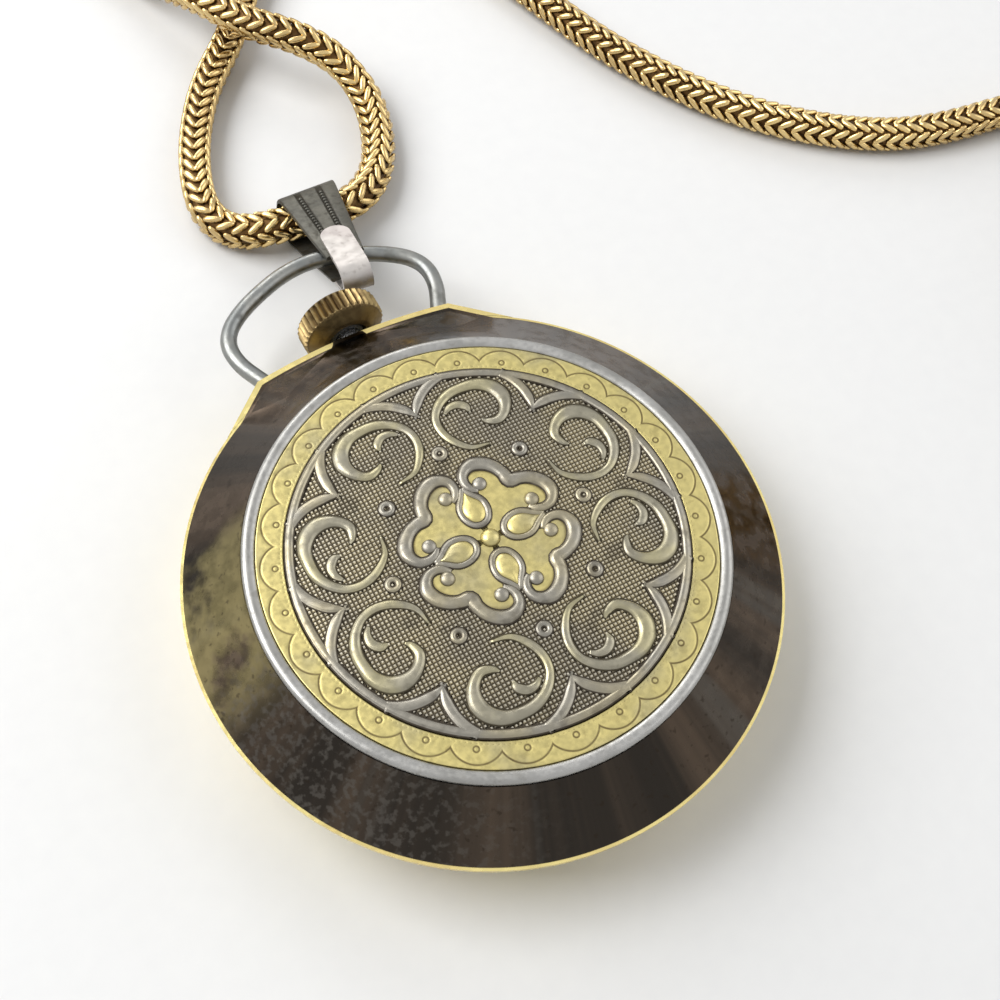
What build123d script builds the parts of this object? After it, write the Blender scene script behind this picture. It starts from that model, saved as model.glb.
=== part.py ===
from build123d import *
from math import asin, atan2, cos, degrees, hypot, pi, radians, sin, sqrt, tan
import os

# A hand-wound pendant watch lying face down, its ornamented back up, on its neck chain.
# Millimetres. The origin is the centre of the crystal's flat outer face, +Z points out of
# the back, and +Y points to twelve o'clock, where the crown, the bow and the bail are.

# Driving sizes of the case
case_radius = 16.5            # the gold lip, the widest circle of the case
lip_height = 0.3              # thickness of that lip
seam_height = 5.05            # where the back meets the case middle
lip_overhang = 0.3            # how far the lip stands out past the wall under it
waist_radius = 15.9           # case middle where it meets the front bezel
middle_bottom = 3.2           # lower edge of the case middle's outer wall
middle_bore = 13.8            # radius of the hole that takes the movement
clamp_ledge_radius = 14.4     # ledge inside the case middle for the clamps
clamp_ledge_height = 4.6
front_spigot_radius = 15.0    # spigot that the front bezel snaps on
front_spigot_depth = 0.6
back_spigot_radius = 15.1     # spigot that the back snaps on
back_spigot_height = 0.4
snap_clearance = 0.03         # radial gap of the two snap joints
seat_gap = 0.1                # air between parts that don't touch in the case

# Back cover, a broad flat cone round the medallion
back_edge_radius = 16.15
back_top_radius = 13.1
back_top_height = 7.7
back_wall = 0.6
back_floor = 0.4              # thickness of the back behind the medallion
medallion_seat_height = 7.6
rim_outer_radius = 13.0
rim_inner_radius = 12.3
rim_top_height = 8.1
rim_step = 0.15               # bevels of the silver rim
medallion_gap = 0.03
medallion_edge_height = 7.98  # top of the engraved gold band
field_radius = 10.8           # recessed field inside the gold band
field_groove = 0.12
medallion_dome_height = 8.42  # top of the low dome in the middle

# Front: crystal, gasket, bezel, dial ring and dial
crystal_radius = 13.0
crystal_flange_radius = 13.4
crystal_thickness = 1.0
crystal_flange_height = 0.65
crystal_bevel = 0.3
bezel_bottom = 0.35           # the crystal stands proud of the bezel by this much
bezel_face_radius = 14.1
bezel_bulge = 0.35            # how far the bezel's outer wall is rounded out
crystal_fit = 0.05
gasket_height = 0.25
gasket_width = 0.5
dial_radius = 13.3
dial_face = 2.3               # dial side that shows the hours
dial_thickness = 0.3
dial_hole_radius = 0.75
dial_ring_lean = 0.3          # slope of the dial ring's inner wall
dial_ring_width = 0.9

# Hour markers: batons, longer at the quarters
marker_height = 0.15
marker_length = 1.9
marker_width = 0.55
marker_outer_radius = 11.6
quarter_marker_length = 2.6
hours = 12

# Hands
hour_hand_face = 1.85
minute_hand_face = 1.45
hand_thickness = 0.14
hour_hand_length = 6.6
minute_hand_length = 9.8
hand_width = 0.8
hand_tail = 2.0
hand_boss_radius = 0.95
hand_fit = 0.01

# Pendant: plate, bow, crown and its tube
pendant_height = 4.2          # height of the winding stem and of the bow's wire
plate_half_width = 6.25
plate_flat_y = 15.5           # flat on the case that carries the pendant plate
plate_middle_y = 16.85
plate_corner_y = 16.3
plate_side_x = 9.4            # where the plate's side edges meet the case circle
plate_bottom = 3.3
plate_fit = 0.02
bow_wire_radius = 0.5
bow_foot_x = 5.75
bow_shoulder_x = 6.85
bow_shoulder_y = 20.75
bow_shoulder_radius = 1.6
bow_peak_y = 24.05            # where the two straight halves of the bow's top would meet
bow_peak_radius = 3.0
crown_radius = 2.6
crown_height = 1.8
crown_bottom_y = 17.2
crown_flutes = 30
crown_flute_depth = 0.22
crown_flute_share = 0.5       # groove width as a share of the pitch
crown_chamfer = 0.15
crown_cone_height = 0.6       # the crown tapers towards the case over this length
crown_foot_radius = 1.55
crown_socket_depth = 1.3
crown_socket_radius = 1.25
tube_radius = 0.75
tube_bore = 0.5
tube_fit = 0.02
tube_top_y = 18.4             # the pulled crown still covers the tube's end
stem_radius = 0.45            # the square passes through the pinion's bore
o_ring_radius = 0.16
o_ring_seat_share = 1.5       # height of the O-ring in the socket, in radii of its own wire
crown_travel = 0.6            # pull of the crown to set the hands

# Movement: plate, bridges and levels
movement_radius = 11.5
movement_fit = 0.05
ring_gap = 0.05               # between movement ring and case middle
plate_face = 2.6              # dial side of the main plate
plate_top = 4.7               # train side of the main plate
motion_recess = 0.5           # depth of the dial-side recess
bridge_radius = 11.0
foot_inner_radius = 9.45
barrel_bridge_bottom = 5.32
barrel_bridge_top = 5.62
train_bridge_bottom = 5.45
train_bridge_top = 5.95
cock_bottom = 5.95
cock_top = 6.45
pallet_bridge_bottom = 5.12
pallet_bridge_top = 5.27
bridge_gap = 0.15             # air between neighbouring bridges and their cut-outs
overrun = 1.0                 # how far cutting tools reach past what they cut

# Wheels: tooth counts and modules
barrel_teeth = 72
center_pinion_teeth = 12
barrel_module = 0.115
center_teeth = 64
third_pinion_teeth = 8
center_module = 0.1
third_teeth = 60
fourth_pinion_teeth = 8
third_module = 0.09
fourth_teeth = 60
escape_pinion_teeth = 6
fourth_module = 0.085
escape_teeth = 15
escape_radius = 1.9
crown_wheel_teeth = 32
ratchet_teeth = 44
winding_module = 0.15
winding_pinion_teeth = 20
cannon_teeth = 12
minute_teeth = 36
minute_pinion_teeth = 10
hour_teeth = 40
motion_module = 0.12
setting_teeth = 15
tooth_tip_share = 0.11        # half width of a tooth at its tip, as a share of the pitch
tooth_root_share = 0.24
addendum_share = 0.8          # tooth height above the pitch circle, in modules
dedendum_share = 1.15
wheel_thickness = 0.14
wheel_arms = 4
arm_width = 0.42
wheel_rim = 0.45
wheel_hub = 0.55
arbor_radius = 0.16
pivot_radius = 0.09
pivot_length = 0.2
pivot_fit = 0.02
jewel_radius = 0.5
jewel_height = 0.25
jewel_fit = 0.01

# Where the wheels stand, seen from the back
barrel_bearing = 150.0        # degrees from +X, direction of the barrel from the centre
fourth_place = (5.42, -3.16)
escape_bearing = 230.0        # direction of the escape wheel from the fourth wheel
lever_bearing = 195.0         # direction of the pallet lever and balance from the escape wheel
pallet_distance = 2.19
balance_distance = 2.8
escape_level = 4.95
fourth_level = 4.78
third_level = 5.13
center_level = 3.82
recess_clearance = 0.07
barrel_bottom = 4.05
barrel_top = 5.25
barrel_wall = 0.2
barrel_lid = 0.12
barrel_tooth_height = 0.25
barrel_arbor_radius = 0.9
barrel_pivot_radius = 0.45
ratchet_level = 5.66
ratchet_thickness = 0.3
mainspring_thickness = 0.14
mainspring_pitch = 0.48
balance_radius = 4.0
balance_rim = 0.55
balance_level = 5.5
balance_thickness = 0.2
roller_radius = 0.55
impulse_pin_radius = 0.08
impulse_pin_offset = 0.4
hairspring_level = 5.74
hairspring_height = 0.12
hairspring_thickness = 0.05
hairspring_pitch = 0.17
hairspring_inner = 0.36
hairspring_half_turns = 17

# Winding and setting work
pinion_length = 0.9
clutch_radius = 0.9
clutch_length = 1.4
clutch_groove_radius = 0.65
clutch_groove_width = 0.4
clutch_travel = 0.72
square_side = 0.6
square_fit = 0.03
pilot_radius = 0.25
pilot_length = 1.6            # stays in its hole when the crown is pulled
setting_wheel_y = 4.55
lever_level = 2.75
lever_thickness = 0.25
lever_pin_radius = 0.14
stem_groove_y = 9.8
stem_groove_length = 0.36
stem_groove_radius = 0.24
setting_lever_reach = 2.0
yoke_reach = 2.6
lever_boss_radius = 0.5
lever_tip_radius = 0.25
post_radius = 0.3
post_fit = 0.02
wheel_post_radius = 0.35

# Screws and clamps
screw_head_radius = 0.5
screw_head_height = 0.2
screw_shank_radius = 0.24
screw_depth = 0.7
screw_slot_width = 0.16
screw_slot_depth = 0.1
screw_fit = 0.03
clamp_bearings = (53.0, -75.0)
clamp_width = 2.2
clamp_thickness = 0.25
clamp_inner_radius = 10.1
clamp_outer_radius = 14.2

# Bail: a folded leaf on the chain and a strap round the bow
bail_x = 2.3                  # the bail hangs this far right of twelve o'clock
bail_twist = -6.0             # degrees, turn of the bail seen from above
bail_reach = 6.0              # from the bow's wire to the chain
leaf_sheet = 0.25
leaf_loop_radius = 1.4        # inner radius of the fold round the chain
leaf_fit = 0.06               # air between the bow's wire and the leaf
leaf_back_reach = 1.3         # the leaf's narrow end lies this far past the bow's wire
leaf_wide_half = 2.1
leaf_narrow_half = 1.2
leaf_floor_gap = 0.03
strap_sheet = 0.3
strap_half_width = 0.95
strap_gap = 0.03              # between strap and leaf
strap_back_reach = 2.6        # start of the strap's bend, towards the crown
strap_tip_reach = 1.3         # rounded end of the strap, on the leaf

# Chain, one continuous piece in two strands from the bail: 0.6 m long, as a 24 inch neck chain
chain_diameter = 2.3
chain_radius = chain_diameter / 2
corner_share = 0.45           # arc length taken from the shorter run at a corner
fold_run = 2.7                # straight run of each strand out of the bail's fold
end_height = 1.37             # centre of the chain at its two ends, which rest on their caps
# Route of the short strand on the table, from the bail over the long strand to its end cap
short_route = [
    (8.4, 30.2, 1.25), (10.0, 33.2, 1.15), (10.8, 36.5, 1.4), (9.9, 39.4, 2.7), (7.7, 41.3, 3.95),
    (5.0, 44.0, 3.95), (3.3, 47.3, 3.95), (2.0, 51.2, 2.5), (0.6, 55.4, 1.15),
    (-1.4, 59.8, end_height), (-4.2, 63.8, end_height),
]
# Route of the long strand, from the bail round its loop and across the table to the coil
long_route = [
    (-2.3, 29.7, 1.2), (-3.3, 31.9, 1.15), (-2.8, 34.8, 1.15), (-1.4, 38.3, 1.15),
    (1.0, 42.2, 1.15), (4.5, 45.7, 1.15), (7.0, 49.2, 1.15), (9.8, 52.8, 1.15),
    (13.8, 55.2, 1.15), (18.2, 54.9, 1.15), (21.8, 52.0, 1.15), (23.9, 47.8, 1.15),
    (25.4, 43.4, 1.15), (26.9, 38.6, 1.15), (28.4, 34.0, 1.15), (30.2, 30.2, 1.15),
    (32.3, 26.7, 1.15), (34.6, 23.7, 1.15), (37.2, 21.2, 1.15), (40.1, 19.0, 1.15),
    (43.4, 17.3, 1.15), (47.2, 16.3, 1.15), (52.0, 15.8, 1.15), (57.0, 14.6, 1.15),
    (61.4, 13.6, 1.15), (65.5, 13.6, 1.15),
]
tail_run = 4.0                # straight run of the tail out of the coil
# Route of the tail, from the coil's upper layer down to the table
tail_route = [
    (74.8, 12.2, 3.95), (79.4, 13.2, 2.0), (84.2, 12.4, end_height), (89.2, 10.0, end_height),
]
layer_gap = 0.5               # air between turns and layers of the coil
coil_outer_radius = 16.6      # centreline of the coil's outermost turn
coil_inward_half_turns = 5
coil_outward_half_turns = 4
cap_wall = 0.15
cap_sleeve = 1.6
cap_floor = 0.45
cap_cone = 0.95
cap_neck_radius = 0.4
cap_fit = 0.05
eye_radius = 0.7
eye_wire = 0.2
jump_ring_radius = 0.93
clasp_radius = 3.4
clasp_tube_radius = 0.75
clasp_bore = 0.5
clasp_height = 0.8            # height of the clasp's ring above the table
clasp_mouth = 62.0            # degrees, opening of the spring ring
clasp_bolt_radius = 0.42
clasp_bolt_hidden = 75.0      # degrees of the bolt that lie inside the tube
clasp_bolt_lap = 6.0          # degrees of the bolt in the tube's other end
clasp_slot = 72.0             # degrees of the slot for the thumb knob
clasp_knob_radius = 0.25
clasp_knob_height = 0.7
clasp_knob_back = 8.0         # degrees from the mouth's edge back to the knob


def save(piece, name):
    """Label a finished piece and write it as one STEP file."""
    piece.part.label = name
    export_step(piece.part, f"parts/{name}.step")


def polar(radius, bearing):
    """Point at a radius and a bearing in degrees."""
    return (radius * cos(radians(bearing)), radius * sin(radians(bearing)))


def shifted(point, other):
    """Sum of two plane points."""
    return (point[0] + other[0], point[1] + other[1])


def bearing_of(start, end):
    """Bearing in degrees from one plane point to another."""
    return degrees(atan2(end[1] - start[1], end[0] - start[0]))


def revolved(outline):
    """Solid of revolution about Z from an outline of (radius, height) points."""
    with BuildPart() as piece:
        with BuildSketch(Plane.XZ):
            with BuildLine():
                Polyline(*outline, close=True)
            make_face()
        revolve(axis=Axis.Z)
    return piece


def pitch_radius(teeth, module):
    """Pitch radius of a wheel or pinion."""
    return teeth * module / 2


def gear_points(teeth, module, turn):
    """Corners of a toothed outline with straight-sided teeth, the first tooth at a bearing."""
    pitch = 360 / teeth
    tip = pitch_radius(teeth, module) + addendum_share * module
    root = pitch_radius(teeth, module) - dedendum_share * module
    points = []
    for tooth in range(teeth):
        middle = turn + tooth * pitch
        points.append(polar(root, middle - tooth_root_share * pitch))
        points.append(polar(tip, middle - tooth_tip_share * pitch))
        points.append(polar(tip, middle + tooth_tip_share * pitch))
        points.append(polar(root, middle + tooth_root_share * pitch))
    return points


def meshed_turn(turn, teeth, bearing, other_teeth):
    """Turn of a gear that meshes with one of a known turn, lying at a bearing from it."""
    offset = (turn - bearing) * teeth / other_teeth
    return bearing + 180 - offset + 180 / other_teeth


def toothed_disc(place, bottom, height, teeth, module, turn):
    """Add a toothed disc to the part in hand."""
    with BuildSketch(Plane((place[0], place[1], bottom))) as outline:
        with BuildLine():
            Polyline(*gear_points(teeth, module, turn), close=True)
        make_face()
    extrude(outline.sketch, amount=height)


def round_bar(place, bottom, top, radius, mode=Mode.ADD):
    """Add or cut an upright round bar between two heights."""
    with BuildSketch(Plane((place[0], place[1], bottom))) as outline:
        Circle(radius)
    extrude(outline.sketch, amount=top - bottom, mode=mode)


def arm_windows(place, bottom, height, rim_radius):
    """Cut the windows between a wheel's arms."""
    inner = wheel_hub
    outer = rim_radius - wheel_rim
    with BuildSketch(Plane((place[0], place[1], bottom))) as windows:
        Circle(outer)
        Circle(inner, mode=Mode.SUBTRACT)
        with PolarLocations(0, wheel_arms):
            Rectangle(2 * outer, arm_width, align=(Align.MIN, Align.CENTER), mode=Mode.SUBTRACT)
    extrude(windows.sketch, amount=height, mode=Mode.SUBTRACT)


def train_wheel(place, wheel, pinion, lower, upper):
    """A wheel and its pinion on one arbor, with a pivot at each end.

    wheel and pinion are (teeth, module, turn, bottom, height); lower and upper are the
    heights of the two shoulders.
    """
    teeth, module, turn, bottom, height = wheel
    with BuildPart() as piece:
        toothed_disc(place, bottom, height, teeth, module, turn)
        arm_windows(place, bottom, height, pitch_radius(teeth, module))
        if pinion:
            p_teeth, p_module, p_turn, p_bottom, p_height = pinion
            toothed_disc(place, p_bottom, p_height, p_teeth, p_module, p_turn)
        round_bar(place, lower, upper, arbor_radius)
        round_bar(place, lower - pivot_length, upper + pivot_length, pivot_radius)
    return piece


def spiral_strip(centre, bottom, height, inner_radius, pitch, half_turns, thickness):
    """A flat spiral spring wound from half-turn arcs about two centres in turn."""
    half = thickness / 2
    with BuildPart() as piece:
        with BuildSketch(Plane((centre[0], centre[1], bottom))):
            with BuildLine():
                for turn in range(half_turns):
                    middle = (0, 0) if turn % 2 == 0 else (pitch / 2, 0)
                    radius = inner_radius + turn * pitch / 2
                    start = 0 if turn % 2 == 0 else 180
                    CenterArc(middle, radius - half, start, 180)
                    CenterArc(middle, radius + half, start, 180)
                end_x = pitch / 2 + inner_radius + (half_turns - 1) * pitch / 2
                if half_turns % 2 == 1:
                    end_x = -(inner_radius + (half_turns - 1) * pitch / 2)
                Line((inner_radius - half, 0), (inner_radius + half, 0))
                Line((end_x - half, 0), (end_x + half, 0))
            make_face()
        extrude(amount=height)
    return piece


# Places that follow from the sizes
center_place = (0.0, 0.0)
barrel_distance = pitch_radius(barrel_teeth + center_pinion_teeth, barrel_module)
barrel_place = polar(barrel_distance, barrel_bearing)
ratchet_distance = pitch_radius(crown_wheel_teeth + ratchet_teeth, winding_module)
crown_wheel_place = (0.0, barrel_place[1] + sqrt(ratchet_distance ** 2 - barrel_place[0] ** 2))
crown_wheel_radius = pitch_radius(crown_wheel_teeth, winding_module)
ratchet_radius = pitch_radius(ratchet_teeth, winding_module)
contact_y = crown_wheel_place[1] + crown_wheel_radius
pinion_end_y = contact_y - addendum_share * winding_module
pinion_pitch_radius = pitch_radius(winding_pinion_teeth, winding_module)
clutch_end_y = pinion_end_y - seat_gap - clutch_length
center_third = pitch_radius(center_teeth + third_pinion_teeth, center_module)
third_fourth = pitch_radius(third_teeth + fourth_pinion_teeth, third_module)
fourth_escape = pitch_radius(fourth_teeth + escape_pinion_teeth, fourth_module)
fourth_radius = hypot(*fourth_place)
third_along = (center_third ** 2 - third_fourth ** 2 + fourth_radius ** 2) / (2 * fourth_radius)
third_aside = sqrt(center_third ** 2 - third_along ** 2)
fourth_bearing = bearing_of(center_place, fourth_place)
third_place = shifted(polar(third_along, fourth_bearing), polar(third_aside, fourth_bearing + 90))
escape_place = shifted(fourth_place, polar(fourth_escape, escape_bearing))
pallet_place = shifted(escape_place, polar(pallet_distance, lever_bearing))
balance_place = shifted(pallet_place, polar(balance_distance, lever_bearing))
motion_distance = pitch_radius(cannon_teeth + minute_teeth, motion_module)
hour_module = 2 * motion_distance / (minute_pinion_teeth + hour_teeth)
setting_distance = pitch_radius(setting_teeth + minute_teeth, motion_module)
minute_y = (motion_distance ** 2 + setting_wheel_y ** 2 - setting_distance ** 2) / (2 * setting_wheel_y)
minute_place = (sqrt(motion_distance ** 2 - minute_y ** 2), minute_y)
setting_place = (0.0, setting_wheel_y)
recess_floor = plate_face + motion_recess
center_recess = center_level - recess_clearance
barrel_recess = barrel_bottom - recess_clearance
dial_back = dial_face + dial_thickness
setting_lever_place = (-setting_lever_reach, stem_groove_y + crown_travel / 2)
clutch_groove_y = clutch_end_y + clutch_length / 2
yoke_place = (yoke_reach, clutch_groove_y - clutch_travel / 2)
bow_slope = (bow_peak_y - bow_shoulder_y) / bow_shoulder_x
bow_bar = Vector(bail_x, bow_peak_y - bow_slope * bail_x, pendant_height)
leaf_outer_radius = leaf_loop_radius + leaf_sheet
bail_fall = asin((pendant_height - leaf_outer_radius - leaf_floor_gap) / bail_reach)
bail_across = Vector(cos(radians(bail_twist)), sin(radians(bail_twist)), 0)
bail_along = Vector(
    -sin(radians(bail_twist)) * cos(bail_fall),
    cos(radians(bail_twist)) * cos(bail_fall),
    -sin(bail_fall),
)

# Jewel seats: place, lower jewel's top and upper jewel's bottom
jewel_seats = {
    "third": (third_place, center_recess, train_bridge_bottom),
    "fourth": (fourth_place, plate_top, train_bridge_bottom),
    "escape": (escape_place, plate_top, train_bridge_bottom),
    "pallet": (pallet_place, plate_top, None),
    "balance": (balance_place, plate_top, cock_bottom),
}

# Screws: place and height of the seat under the head
cock_foot_share = 0.8         # distance of the cock's foot, as a share of the movement's radius
cock_foot_bearing = 214.0
cock_foot_place = polar(cock_foot_share * movement_radius, cock_foot_bearing)
cock_foot_radius = 1.9
pallet_post_reach = 1.8
pallet_post_set_back = 0.4
pallet_posts = [
    shifted(shifted(pallet_place, polar(pallet_post_reach, lever_bearing + side)),
            polar(pallet_post_set_back, lever_bearing))
    for side in (90, -90)
]
screw_ring_radius = (foot_inner_radius + bridge_radius) / 2
clamp_screw_radius = 10.9
barrel_bridge_screws = [polar(screw_ring_radius, bearing) for bearing in (105.0, 150.0, 178.0)]
train_bridge_screws = [polar(screw_ring_radius, bearing) for bearing in (20.0, -22.0)]
clamp_screws = [polar(clamp_screw_radius, bearing) for bearing in clamp_bearings]
screw_seats = (
    [(place, barrel_bridge_top) for place in barrel_bridge_screws]
    + [(place, train_bridge_top) for place in train_bridge_screws]
    + [(cock_foot_place, cock_top)]
    + [(place, pallet_bridge_top) for place in pallet_posts]
    + [(place, plate_top + clamp_thickness) for place in clamp_screws]
)

os.makedirs("parts", exist_ok=True)


# Case middle: the ring that carries everything, with the gold lip at its widest
lip_bottom = seam_height - lip_height
lip_root_radius = case_radius - lip_overhang
spigot_bottom = middle_bottom - front_spigot_depth
with BuildPart() as case_middle:
    with BuildSketch(Plane.XZ):
        with BuildLine():
            Polyline(
                (middle_bore, spigot_bottom),
                (front_spigot_radius, spigot_bottom),
                (front_spigot_radius, middle_bottom),
                (waist_radius, middle_bottom),
                (lip_root_radius, lip_bottom),
                (case_radius, lip_bottom),
                (case_radius, seam_height),
                (back_spigot_radius, seam_height),
                (back_spigot_radius, seam_height + back_spigot_height),
                (clamp_ledge_radius, seam_height + back_spigot_height),
                (clamp_ledge_radius, clamp_ledge_height),
                (middle_bore, clamp_ledge_height),
                close=True,
            )
        make_face()
    revolve(axis=Axis.Z)
    with BuildSketch(Plane.XY.offset(middle_bottom - overrun)):
        with Locations((0, plate_flat_y)):
            Rectangle(2 * case_radius, case_radius, align=(Align.CENTER, Align.MIN))
    extrude(amount=seam_height - middle_bottom + overrun, mode=Mode.SUBTRACT)
    with BuildSketch(Plane.XZ):
        with Locations((0, pendant_height)):
            Circle(tube_radius + tube_fit)
    extrude(amount=-case_radius, mode=Mode.SUBTRACT)
save(case_middle, "case_middle")

# Back cover: a snap-on cup whose outside is a broad cone
cone_inner_top = medallion_seat_height - back_floor
back_socket_top = seam_height + back_spigot_height + seat_gap
case_back = revolved([
    (back_spigot_radius + snap_clearance, seam_height),
    (back_edge_radius, seam_height),
    (back_top_radius, back_top_height),
    (rim_outer_radius + medallion_gap, back_top_height),
    (rim_outer_radius + medallion_gap, medallion_seat_height),
    (0, medallion_seat_height),
    (0, cone_inner_top),
    (back_top_radius - back_wall, cone_inner_top),
    (back_spigot_radius - back_wall, back_socket_top),
    (back_spigot_radius + snap_clearance, back_socket_top),
])
save(case_back, "case_back")

# Silver rim, bevelled inside and out, round the medallion
medallion_rim = revolved([
    (rim_inner_radius, medallion_seat_height),
    (rim_outer_radius, medallion_seat_height),
    (rim_outer_radius, rim_top_height - rim_step),
    (rim_outer_radius - rim_step, rim_top_height),
    (rim_inner_radius + 2 * rim_step, rim_top_height),
    (rim_inner_radius, rim_top_height - rim_step),
])
save(medallion_rim, "medallion_rim")

# Medallion: a pressed disc with a flat band and a low domed field inside a groove
medallion_radius = rim_inner_radius - medallion_gap
with BuildPart() as back_medallion:
    with BuildSketch(Plane.XZ):
        with BuildLine():
            Polyline(
                (0, medallion_dome_height),
                (0, medallion_seat_height),
                (medallion_radius, medallion_seat_height),
                (medallion_radius, medallion_edge_height),
                (field_radius, medallion_edge_height),
                (field_radius, medallion_edge_height - field_groove),
                (field_radius - field_groove, medallion_edge_height - field_groove),
                (field_radius - field_groove, medallion_edge_height),
            )
            sagitta = medallion_dome_height - medallion_edge_height
            half_chord = field_radius - field_groove
            dome_radius = (half_chord ** 2 + sagitta ** 2) / (2 * sagitta)
            middle_share = 0.5
            middle_r = half_chord * middle_share
            middle_z = medallion_dome_height - dome_radius + sqrt(dome_radius ** 2 - middle_r ** 2)
            ThreePointArc(
                (half_chord, medallion_edge_height),
                (middle_r, middle_z),
                (0, medallion_dome_height),
            )
        make_face()
    revolve(axis=Axis.Z)
save(back_medallion, "back_medallion")

# Front bezel: holds the crystal by its flange and snaps on the case middle
with BuildPart() as front_bezel:
    with BuildSketch(Plane.XZ):
        with BuildLine():
            Polyline(
                (waist_radius, middle_bottom),
                (front_spigot_radius + snap_clearance, middle_bottom),
                (front_spigot_radius + snap_clearance, spigot_bottom - seat_gap),
                (crystal_flange_radius + crystal_fit, spigot_bottom - seat_gap),
                (crystal_flange_radius + crystal_fit, crystal_flange_height),
                (crystal_radius + crystal_fit, crystal_flange_height),
                (crystal_radius + crystal_fit, bezel_bottom),
                (bezel_face_radius, bezel_bottom),
            )
            ThreePointArc(
                (bezel_face_radius, bezel_bottom),
                ((bezel_face_radius + waist_radius) / 2 + bezel_bulge,
                 (bezel_bottom + middle_bottom) / 2 - bezel_bulge),
                (waist_radius, middle_bottom),
            )
        make_face()
    revolve(axis=Axis.Z)
save(front_bezel, "front_bezel")

crystal = revolved([
    (0, 0),
    (crystal_radius - crystal_bevel, 0),
    (crystal_radius, crystal_bevel),
    (crystal_radius, crystal_flange_height),
    (crystal_flange_radius, crystal_flange_height),
    (crystal_flange_radius, crystal_thickness),
    (0, crystal_thickness),
])
save(crystal, "crystal")

crystal_gasket = revolved([
    (crystal_flange_radius - gasket_width, crystal_thickness),
    (crystal_flange_radius, crystal_thickness),
    (crystal_flange_radius, crystal_thickness + gasket_height),
    (crystal_flange_radius - gasket_width, crystal_thickness + gasket_height),
])
save(crystal_gasket, "crystal_gasket")

# Dial ring: the sloped ring between the gasket and the dial
dial_ring_bottom = crystal_thickness + gasket_height
dial_ring_inner = crystal_flange_radius - dial_ring_width
dial_ring = revolved([
    (dial_ring_inner, dial_ring_bottom),
    (crystal_flange_radius, dial_ring_bottom),
    (crystal_flange_radius, dial_face),
    (dial_ring_inner - dial_ring_lean, dial_face),
])
save(dial_ring, "dial_ring")

with BuildPart() as dial:
    with BuildSketch(Plane.XY.offset(dial_face)):
        Circle(dial_radius)
        Circle(dial_hole_radius, mode=Mode.SUBTRACT)
    extrude(amount=dial_thickness)
save(dial, "dial")

with BuildPart() as hour_markers:
    with BuildSketch(Plane.XY.offset(dial_face - marker_height)):
        for hour in range(hours):
            length = quarter_marker_length if hour % 3 == 0 else marker_length
            bearing = hour * 360 / hours
            with PolarLocations(marker_outer_radius - length / 2, 1, start_angle=bearing):
                Rectangle(length, marker_width)
    extrude(amount=marker_height)
save(hour_markers, "hour_markers")


def hand(face, length, bore, bearing):
    """A tapered hand with a round boss and a short tail."""
    with BuildPart() as piece:
        with BuildSketch(Plane((0, 0, face), x_dir=(cos(radians(bearing)), sin(radians(bearing)), 0))):
            with BuildLine():
                Polyline(
                    (-hand_tail, -hand_width / 2),
                    (length / 3, -hand_width / 2),
                    (length, 0),
                    (length / 3, hand_width / 2),
                    (-hand_tail, hand_width / 2),
                    close=True,
                )
            make_face()
            Circle(hand_boss_radius)
            Circle(bore, mode=Mode.SUBTRACT)
        extrude(amount=hand_thickness)
    return piece


# The watch has stopped at ten past ten; seen from the back the hours run clockwise from +Y
# through -X, because the dial faces down
hour_pipe_radius = 0.65
cannon_pipe_radius = 0.42
cannon_bore = 0.27
center_arbor_radius = 0.25
hours_shown = 10 + 10 / 60     # the hands stand at ten past ten
hour_bearing = 90 + hours_shown * 360 / hours
minute_bearing = 90 + 10 * 360 / 60
hour_hand = hand(hour_hand_face, hour_hand_length, hour_pipe_radius + hand_fit, hour_bearing)
save(hour_hand, "hour_hand")
minute_hand = hand(minute_hand_face, minute_hand_length, cannon_pipe_radius + hand_fit, minute_bearing)
save(minute_hand, "minute_hand")

# Movement ring: fills the space between the movement and the case
ring_outer = middle_bore - ring_gap
with BuildPart() as movement_ring:
    with BuildSketch(Plane.XY.offset(dial_back)):
        Circle(ring_outer)
        Circle(movement_radius + movement_fit, mode=Mode.SUBTRACT)
    extrude(amount=clamp_ledge_height - dial_back)
    with BuildSketch(Plane.XZ):
        with Locations((0, pendant_height)):
            Circle(tube_radius + tube_fit)
    extrude(amount=-ring_outer, mode=Mode.SUBTRACT)
save(movement_ring, "movement_ring")

# Pendant plate: the gold shoulder that carries the bow and the crown tube
with BuildPart() as pendant_plate:
    with BuildSketch(Plane.XY.offset(plate_bottom)):
        side_y = sqrt(case_radius ** 2 - plate_side_x ** 2)
        with BuildLine():
            ThreePointArc(
                (plate_half_width, plate_corner_y),
                (0, plate_middle_y),
                (-plate_half_width, plate_corner_y),
            )
            Polyline(
                (-plate_half_width, plate_corner_y),
                (-plate_side_x, side_y),
                (plate_side_x, side_y),
                (plate_half_width, plate_corner_y),
            )
        make_face()
        with BuildSketch(mode=Mode.SUBTRACT):
            Circle(case_radius + plate_fit)
            with Locations((0, plate_flat_y)):
                Rectangle(
                    2 * case_radius, case_radius,
                    align=(Align.CENTER, Align.MIN), mode=Mode.SUBTRACT,
                )
    extrude(amount=seam_height - plate_bottom)
    with BuildSketch(Plane.XZ):
        with Locations((0, pendant_height)):
            Circle(tube_radius + tube_fit)
    extrude(amount=-case_radius - overrun, mode=Mode.SUBTRACT)
save(pendant_plate, "pendant_plate")

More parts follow.
